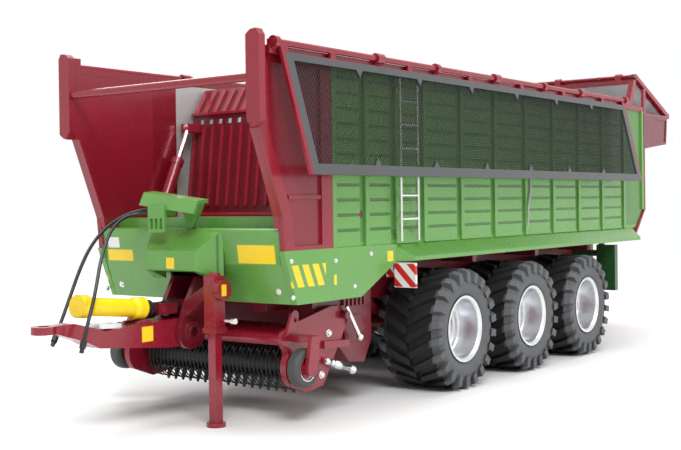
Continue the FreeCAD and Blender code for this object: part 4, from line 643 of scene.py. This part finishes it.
def make_fastener_tree():
    """A washer, a head and a stud's end on each point, facing as the point says."""
    tree = Tree("fasteners", span=FLOAT, high=FLOAT, sides=WHOLE, finish=PAINT)

    def disc(sides, reach, depth):
        """A disc whose radius and depth are shares of a fastener's span and height."""
        return tree.geometry("MeshCylinder", Vertices=sides, Radius=tree.sum("MULTIPLY", tree["span"], reach),
                             Depth=tree.sum("MULTIPLY", tree["high"], depth))

    whole = tree.join(disc(14, 0.66, 0.6), disc(tree["sides"], 0.5, 2), disc(10, 0.26, 2.7))
    facing = tree.add("GeometryNodeInputNamedAttribute", {"Name": "facing"}, data_type="FLOAT_VECTOR")
    turn = tree.add("FunctionNodeAlignRotationToVector", {"Vector": facing.outputs[0]}, axis="Z")
    return tree.close(tree.geometry(
        "InstanceOnPoints", Points=tree["Geometry"], Instance=whole, Rotation=turn.outputs[0]))


def make_comb_tree():
    """One wire's path as a round wire, repeated in equal steps."""
    tree = Tree("comb", count=WHOLE, start=ARROW, step=ARROW, wire=FLOAT, finish=PAINT)
    path = tree.geometry("MeshToCurve", Mesh=tree["Geometry"])
    ring = tree.geometry("CurvePrimitiveCircle", Resolution=6, Radius=tree.sum("DIVIDE", tree["wire"], 2))
    tube = tree.geometry("CurveToMesh", Curve=path, Profile_Curve=ring, Fill_Caps=True)
    row = tree.geometry("MeshLine", Count=tree["count"], Start_Location=tree["start"], Offset=tree["step"])
    return tree.close(tree.geometry("InstanceOnPoints", Points=row, Instance=tube))


NET = make_net_tree()
FASTENERS = make_fastener_tree()
COMB = make_comb_tree()


# nets --------------------------------------------------------------------

# the covers' nets by their drops from the hinge, and the tail's by the y and z of its edges
COVER_NET_DROPS = (4.3, 32.8)
TAIL_EDGES = ((135.2, 116.6), (173.6, 102.3))
TAIL_FACE = (0, 0.35, 0.94)
TAIL_LAP = 0.2


def stretch_net(name, node, body, corners, out, cell, wire, slot):
    """Stretch a net in place of a plain sheet; corners are near top, far top, near foot, far foot."""
    near_top, far_top, near_foot, far_foot = (Vector(corner) * MM for corner in corners)
    net = NET.grow(
        name, mesh(name, []), body, FINISHES[slot], slot,
        near_top=near_top, far_top=far_top, near_foot=near_foot, far_foot=far_foot, out=Vector(out),
        columns=round((far_top - near_top).length / MM / cell),
        rows=round((near_foot - near_top).length / MM / cell), wire=wire * MM)
    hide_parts(node)


def cover_point(end, drop, sign):
    """A point of a cover's raked end, by its drop from the hinge."""
    y_at_hinge, rake = end
    x = HINGE.x + drop * math.sin(COVER_LEAN)
    return (sign * x, y_at_hinge + rake * drop / COVER_DEEP, HINGE.z - drop * math.cos(COVER_LEAN))


for side, sign in SIDES:
    stretch_net(
        f"cover_net_{side}", f"cover_mesh_{side}", f"cover_{side}",
        [cover_point(end, drop, sign) for drop in COVER_NET_DROPS for end in (COVER_FRONT, COVER_BACK)],
        out=(sign * math.cos(COVER_LEAN), 0, math.sin(COVER_LEAN)), cell=1.15, wire=0.26, slot="mesh")

tail_half = box("tail_mesh")[1].x + TAIL_LAP
stretch_net(
    "tail_net", "tail_mesh", "tailgate",
    [(x, *edge) for edge in TAIL_EDGES for x in (-tail_half, tail_half)],
    out=TAIL_FACE, cell=1.2, wire=0.42, slot="light_mesh")


# fasteners ---------------------------------------------------------------

# skirt bolts by y and z on either side, hood bolts by place, pickup bolts by place on the left side
SKIRT_BOLTS = [(-117.0, 46.4), (-116.4, 36.4), (-96.7, 45.6), (-78.9, 46.8), (-87.5, 37.6)]
HOOD_BOLTS = [(31.8, -115.75, 37.8), (-31.6, -115.75, 37.8)]
HOOD_BOLTS_FACE = (0, -0.94, -0.33)
PICKUP_BOLTS = [(31.8, -97.1, 12.2), (31.8, -93.4, 24.0)]
WHEEL_NUTS = 10
WHEEL_NUTS_REACH = 6.2


def fasten(name, body, points, span, high):
    """Bright hexagon fasteners at points, each a place and the way it faces."""
    base = mesh(name, [place for place, _ in points])
    facing = base.attributes.new("facing", "FLOAT_VECTOR", "POINT")
    for item, (_, way) in zip(facing.data, points):
        item.vector = way
    FASTENERS.grow(name, base, body, FINISHES["bright_steel"], "bright_steel",
                   span=span * MM, high=high * MM, sides=6)


def on_both_sides(places):
    """Fasteners at the same places on the left and the right, facing out."""
    return [((sign * x, y, z), (sign, 0, 0)) for x, y, z in places for _, sign in SIDES]


skirt_out = box("skirts")[1].x
fasten("skirt_bolts", "root", on_both_sides([(skirt_out, y, z) for y, z in SKIRT_BOLTS]), span=1.1, high=0.35)
fasten("hood_bolts", "root", [(place, HOOD_BOLTS_FACE) for place in HOOD_BOLTS], span=1.5, high=0.5)
fasten("pickup_bolts", "pickup", on_both_sides(PICKUP_BOLTS), span=1.7, high=0.8)
for axle in AXLES:
    for side, sign in SIDES:
        pin = pins[f"wheel_{axle}_{side}_spin"]
        nuts = []
        for number in range(WHEEL_NUTS):
            angle = 2 * math.pi * number / WHEEL_NUTS
            reach = Vector((0, math.cos(angle), math.sin(angle))) * WHEEL_NUTS_REACH
            nuts.append((pin + reach, (sign, 0, 0)))
        fasten(f"wheel_nuts_{axle}_{side}", f"wheel_{axle}_{side}", nuts, span=1.3, high=0.5)


# wires over the tine reel ------------------------------------------------

# a wire's root is by y and z from the reel's axle, and its bend goes round the axle in degrees
TINE_APART = 1.6
TINE_PLANES = 35
WIRE_THICK = 0.42
WIRE_REACH = 7.0
WIRE_ROOT = [(8.5, 4.4), (7.2, 5.9), (5.0, 6.9), (2.4, 7.2)]
WIRE_TURNS = range(90, 261, 17)


def make_comb():
    """Wires from the cross tube over the drum and under it, one between each two planes of tines."""
    bend = list(WIRE_ROOT)
    for turn in WIRE_TURNS:
        angle = math.radians(turn)
        bend.append((WIRE_REACH * math.cos(angle), WIRE_REACH * math.sin(angle)))
    reel = pins["tine_reel_spin"]
    path = mesh("comb_path", [reel + Vector((0, y, z)) for y, z in bend],
                edges=[(step, step + 1) for step in range(len(bend) - 1)])
    COMB.grow("comb_wires", path, "pickup", FINISHES["black_plastic"], "black_plastic",
              count=TINE_PLANES + 1, start=Vector((-TINE_APART * TINE_PLANES / 2 * MM, 0, 0)),
              step=Vector((TINE_APART * MM, 0, 0)), wire=WIRE_THICK * MM)


make_comb()


# links beside the pickup -------------------------------------------------

# turned bars with a ball at the lower end, and the runs are the bars' lengths
AROUND = 16
BALL_STEPS = 6
NECK = 0.5
LIFT_RUN = 13.2
SPRING_RUN = 15.6


def turned_bar(start, end, rows):
    """Vertices and faces of a turned bar; each row is a share of its length and the radius there."""
    start, end = Vector(start), Vector(end)
    turn = (end - start).to_track_quat("Z", "Y")
    run = (end - start).length
    verts = [start]
    for share, radius in rows:
        for step in range(AROUND):
            angle = 2 * math.pi * step / AROUND
            spot = Vector((radius * math.cos(angle), radius * math.sin(angle), run * share))
            verts.append(start + turn @ spot)
    verts.append(end)
    after = [(step + 1) % AROUND for step in range(AROUND)]
    faces = []
    for first in range(1, 1 + (len(rows) - 1) * AROUND, AROUND):
        for one, two in enumerate(after):
            faces.append((first + one, first + two, first + two + AROUND, first + one + AROUND))
    last = 1 + (len(rows) - 1) * AROUND
    for one, two in enumerate(after):
        faces.append((0, 1 + two, 1 + one))
        faces.append((len(verts) - 1, last + one, last + two))
    return verts, faces


def ball(size, radius, run):
    """Rows of a ball with a neck, at the end of a bar of that run."""
    rows = []
    for step in range(BALL_STEPS + 1):
        angle = math.pi * step / BALL_STEPS
        place = run - size / 2 - size / 2 * math.cos(angle)
        rows.append((place / run, max(NECK, radius * math.sin(angle))))
    return rows


def make_links(name, start, end, rows):
    """The same link on the left and the right of the pickup."""
    for side, sign in SIDES:
        ends = [(sign * x, y, z) for x, y, z in (start, end)]
        data = mesh(f"{name}_{side}", *turned_bar(*ends, rows), smooth=True)
        piece(f"{name}_{side}", data, FINISHES["bright_steel"], "pickup")


make_links(
    "lift_rod", (33.2, -86.0, 31.4), (33.2, -78.6, 20.5),
    [(0, 0.5), (0.02, 0.62), (0.8, 0.62), (0.82, 0.85)] + ball(2.4, 1.2, LIFT_RUN))
make_links(
    "spring_link", (33.0, -96.6, 16.4), (33.0, -81.8, 11.6),
    [(0, 0.9), (0.03, 1.1), (0.14, 1.1), (0.15, 0.75), (0.2, 0.75), (0.21, 1.1), (0.25, 1.1), (0.26, 0.75),
     (0.3, 0.75), (0.31, 1.25), (0.52, 1.25), (0.54, 0.85), (0.8, 0.85)] + ball(2.8, 1.4, SPRING_RUN))


# pipe on the left wall ---------------------------------------------------

PIPE_THICK = 0.9
PIPE_ROUTE = [
    (37.2, 26.0, 76.0), (37.75, 26.0, 72.0), (37.85, 26.2, 68.0), (37.85, 25.0, 63.5),
    (37.85, 23.6, 60.0), (37.8, 24.0, 56.0), (37.5, 23.8, 52.4), (36.9, 23.6, 51.0),
]


def make_pipe():
    """A clipped pipe, as a mesh."""
    draft = bpy.data.objects.new("draft", smooth_line("draft", PIPE_ROUTE, PIPE_THICK, steps=12, rounding=3))
    scene.collection.objects.link(draft)
    data = bpy.data.meshes.new_from_object(draft.evaluated_get(bpy.context.evaluated_depsgraph_get()))
    bpy.data.objects.remove(draft)
    piece("wall_pipe", data, finish("pipe_grey", PIPE_GREY, coat=0.2, edge=0), "root")


make_pipe()


# rear lamps and the plate on the drawbar ---------------------------------

# each lens: its height above the ground, its look and its material slot
LENS_X = 36.0
LENS_FACE = 99.9
LENS_REACH = 1.9
LENS_HIGH = 1.1
LENS_ROWS = [(0, 1), (0.35, 1), (0.45, 0.94), (0.75, 0.7), (0.95, 0.3)]
LENSES = {"rear_lamp": (38.4, LAMP_RED, "red_paint"), "turn_lamp": (33.6, LAMP_AMBER, "guard_plastic")}

PLATE_THICK = 1.4
PLATE_ROUND = 0.5
PLATE_CORNERS = [(2.4, -154.5, 31.0), (2.4, -146.5, 30.4), (-2.4, -146.5, 30.4), (-2.4, -154.5, 31.0)]


def make_lenses(name, z, look):
    """A domed round lens on each rear panel, facing back."""
    glass = finish(f"{name}_lens", look, coat=0.8, grain=0.4, edge=0)
    rows = [(share, LENS_REACH * part) for share, part in LENS_ROWS]
    for side, sign in SIDES:
        foot = Vector((sign * LENS_X, LENS_FACE, z))
        verts, faces = turned_bar(foot, foot + Vector((0, LENS_HIGH, 0)), rows)
        data = mesh(f"{name}_{side}", verts, faces, smooth=True)
        piece(f"{name}_{side}", data, glass, "root")


def make_drawbar_plate():
    """A thin plate with rounded corners on the drawbar's top."""
    corners = [Vector(corner) for corner in PLATE_CORNERS]
    rim = []
    for before, corner, after in zip(corners[-1:] + corners[:-1], corners, corners[1:] + corners[:1]):
        back, ahead = (before - corner).normalized(), (after - corner).normalized()
        for share in (0, 0.3, 0.7, 1):
            rim.append(corner + back.lerp(ahead, share) * PLATE_ROUND)
    normal = (corners[1] - corners[0]).cross(corners[2] - corners[1]).normalized()
    total = len(rim)
    verts = rim + [vert - normal * PLATE_THICK for vert in rim]
    faces = [tuple(range(total)), tuple(reversed(range(total, 2 * total)))]
    for step in range(total):
        following = (step + 1) % total
        faces.append((step, step + total, following + total, following))
    piece("drawbar_plate", mesh("drawbar_plate", verts, faces), FINISHES["bright_steel"],
          "drawbar")


for name, (z, look, slot) in LENSES.items():
    make_lenses(name, z, look)
make_drawbar_plate()


# studio ------------------------------------------------------------------

SOFT_LIGHT = 0.34
FLOOR_HALF = 6000.0
FLOOR_FADE = (300.0, 800.0)


def make_world():
    """A white backdrop that lights the wagon softly."""
    world = bpy.data.worlds.new("studio")
    scene.world = world
    world.use_nodes = True
    world.node_tree.nodes.clear()
    graph = Graph(world.node_tree)
    rays = graph.add("ShaderNodeLightPath").outputs
    seen = graph.sum("MAXIMUM", rays["Is Camera Ray"], rays["Is Glossy Ray"])
    seen = graph.sum("MAXIMUM", seen, rays["Is Transmission Ray"])
    soft, white = (
        graph.add("ShaderNodeBackground", {"Color": (1, 1, 1, 1), "Strength": strength}).outputs[0]
        for strength in (SOFT_LIGHT, 1.0))
    mix = graph.add("ShaderNodeMixShader", {0: seen, 1: soft, 2: white})
    graph.add("ShaderNodeOutputWorld", {"Surface": mix.outputs[0]})


def make_floor():
    """A pale floor that turns into the white backdrop with distance."""
    half = FLOOR_HALF
    data = mesh("studio_floor", [(-half, -half, 0), (half, -half, 0), (half, half, 0), (-half, half, 0)],
                [(0, 1, 2, 3)])
    floor = bpy.data.objects.new("studio_floor", data)
    scene.collection.objects.link(floor)
    shader = Shader("studio_floor")
    shader.set(Base_Color=(0.93, 0.93, 0.93, 1), Roughness=0.8, Specular_IOR_Level=0.1)
    far = shader.add("ShaderNodeVectorMath", {0: shader.place}, operation="LENGTH").outputs["Value"]
    glow = shader.add("ShaderNodeEmission", {"Strength": 1.0}).outputs[0]
    mix = shader.add("ShaderNodeMixShader", {
        0: shader.between(far, 0, 1, FLOOR_FADE[0] * MM, FLOOR_FADE[1] * MM),
        1: shader.body.outputs[0], 2: glow})
    shader.feed(shader.out.inputs["Surface"], mix.outputs[0])
    data.materials.append(shader.material)


def lamp(name, place, aim, width, height, watts):
    """A soft rectangular lamp that faces an aim."""
    data = bpy.data.lights.new(name, "AREA")
    data.shape = "RECTANGLE"
    data.size = width * MM
    data.size_y = height * MM
    data.energy = watts
    light = bpy.data.objects.new(name, data)
    scene.collection.objects.link(light)
    light.location = Vector(place) * MM
    light.rotation_euler = (Vector(aim) - Vector(place)).to_track_quat("-Z", "Y").to_euler()


make_world()
make_floor()
lamp("key", (750, -750, 1050), aim=(0, -20, 50), width=600, height=500, watts=12)
lamp("side", (1200, 350, 600), aim=(0, 20, 50), width=500, height=400, watts=4)
lamp("top", (-100, 100, 1200), aim=(0, 0, 50), width=800, height=800, watts=11)
lamp("back", (-900, 600, 800), aim=(0, 0, 50), width=600, height=500, watts=4)

scene.view_settings.view_transform = "Standard"
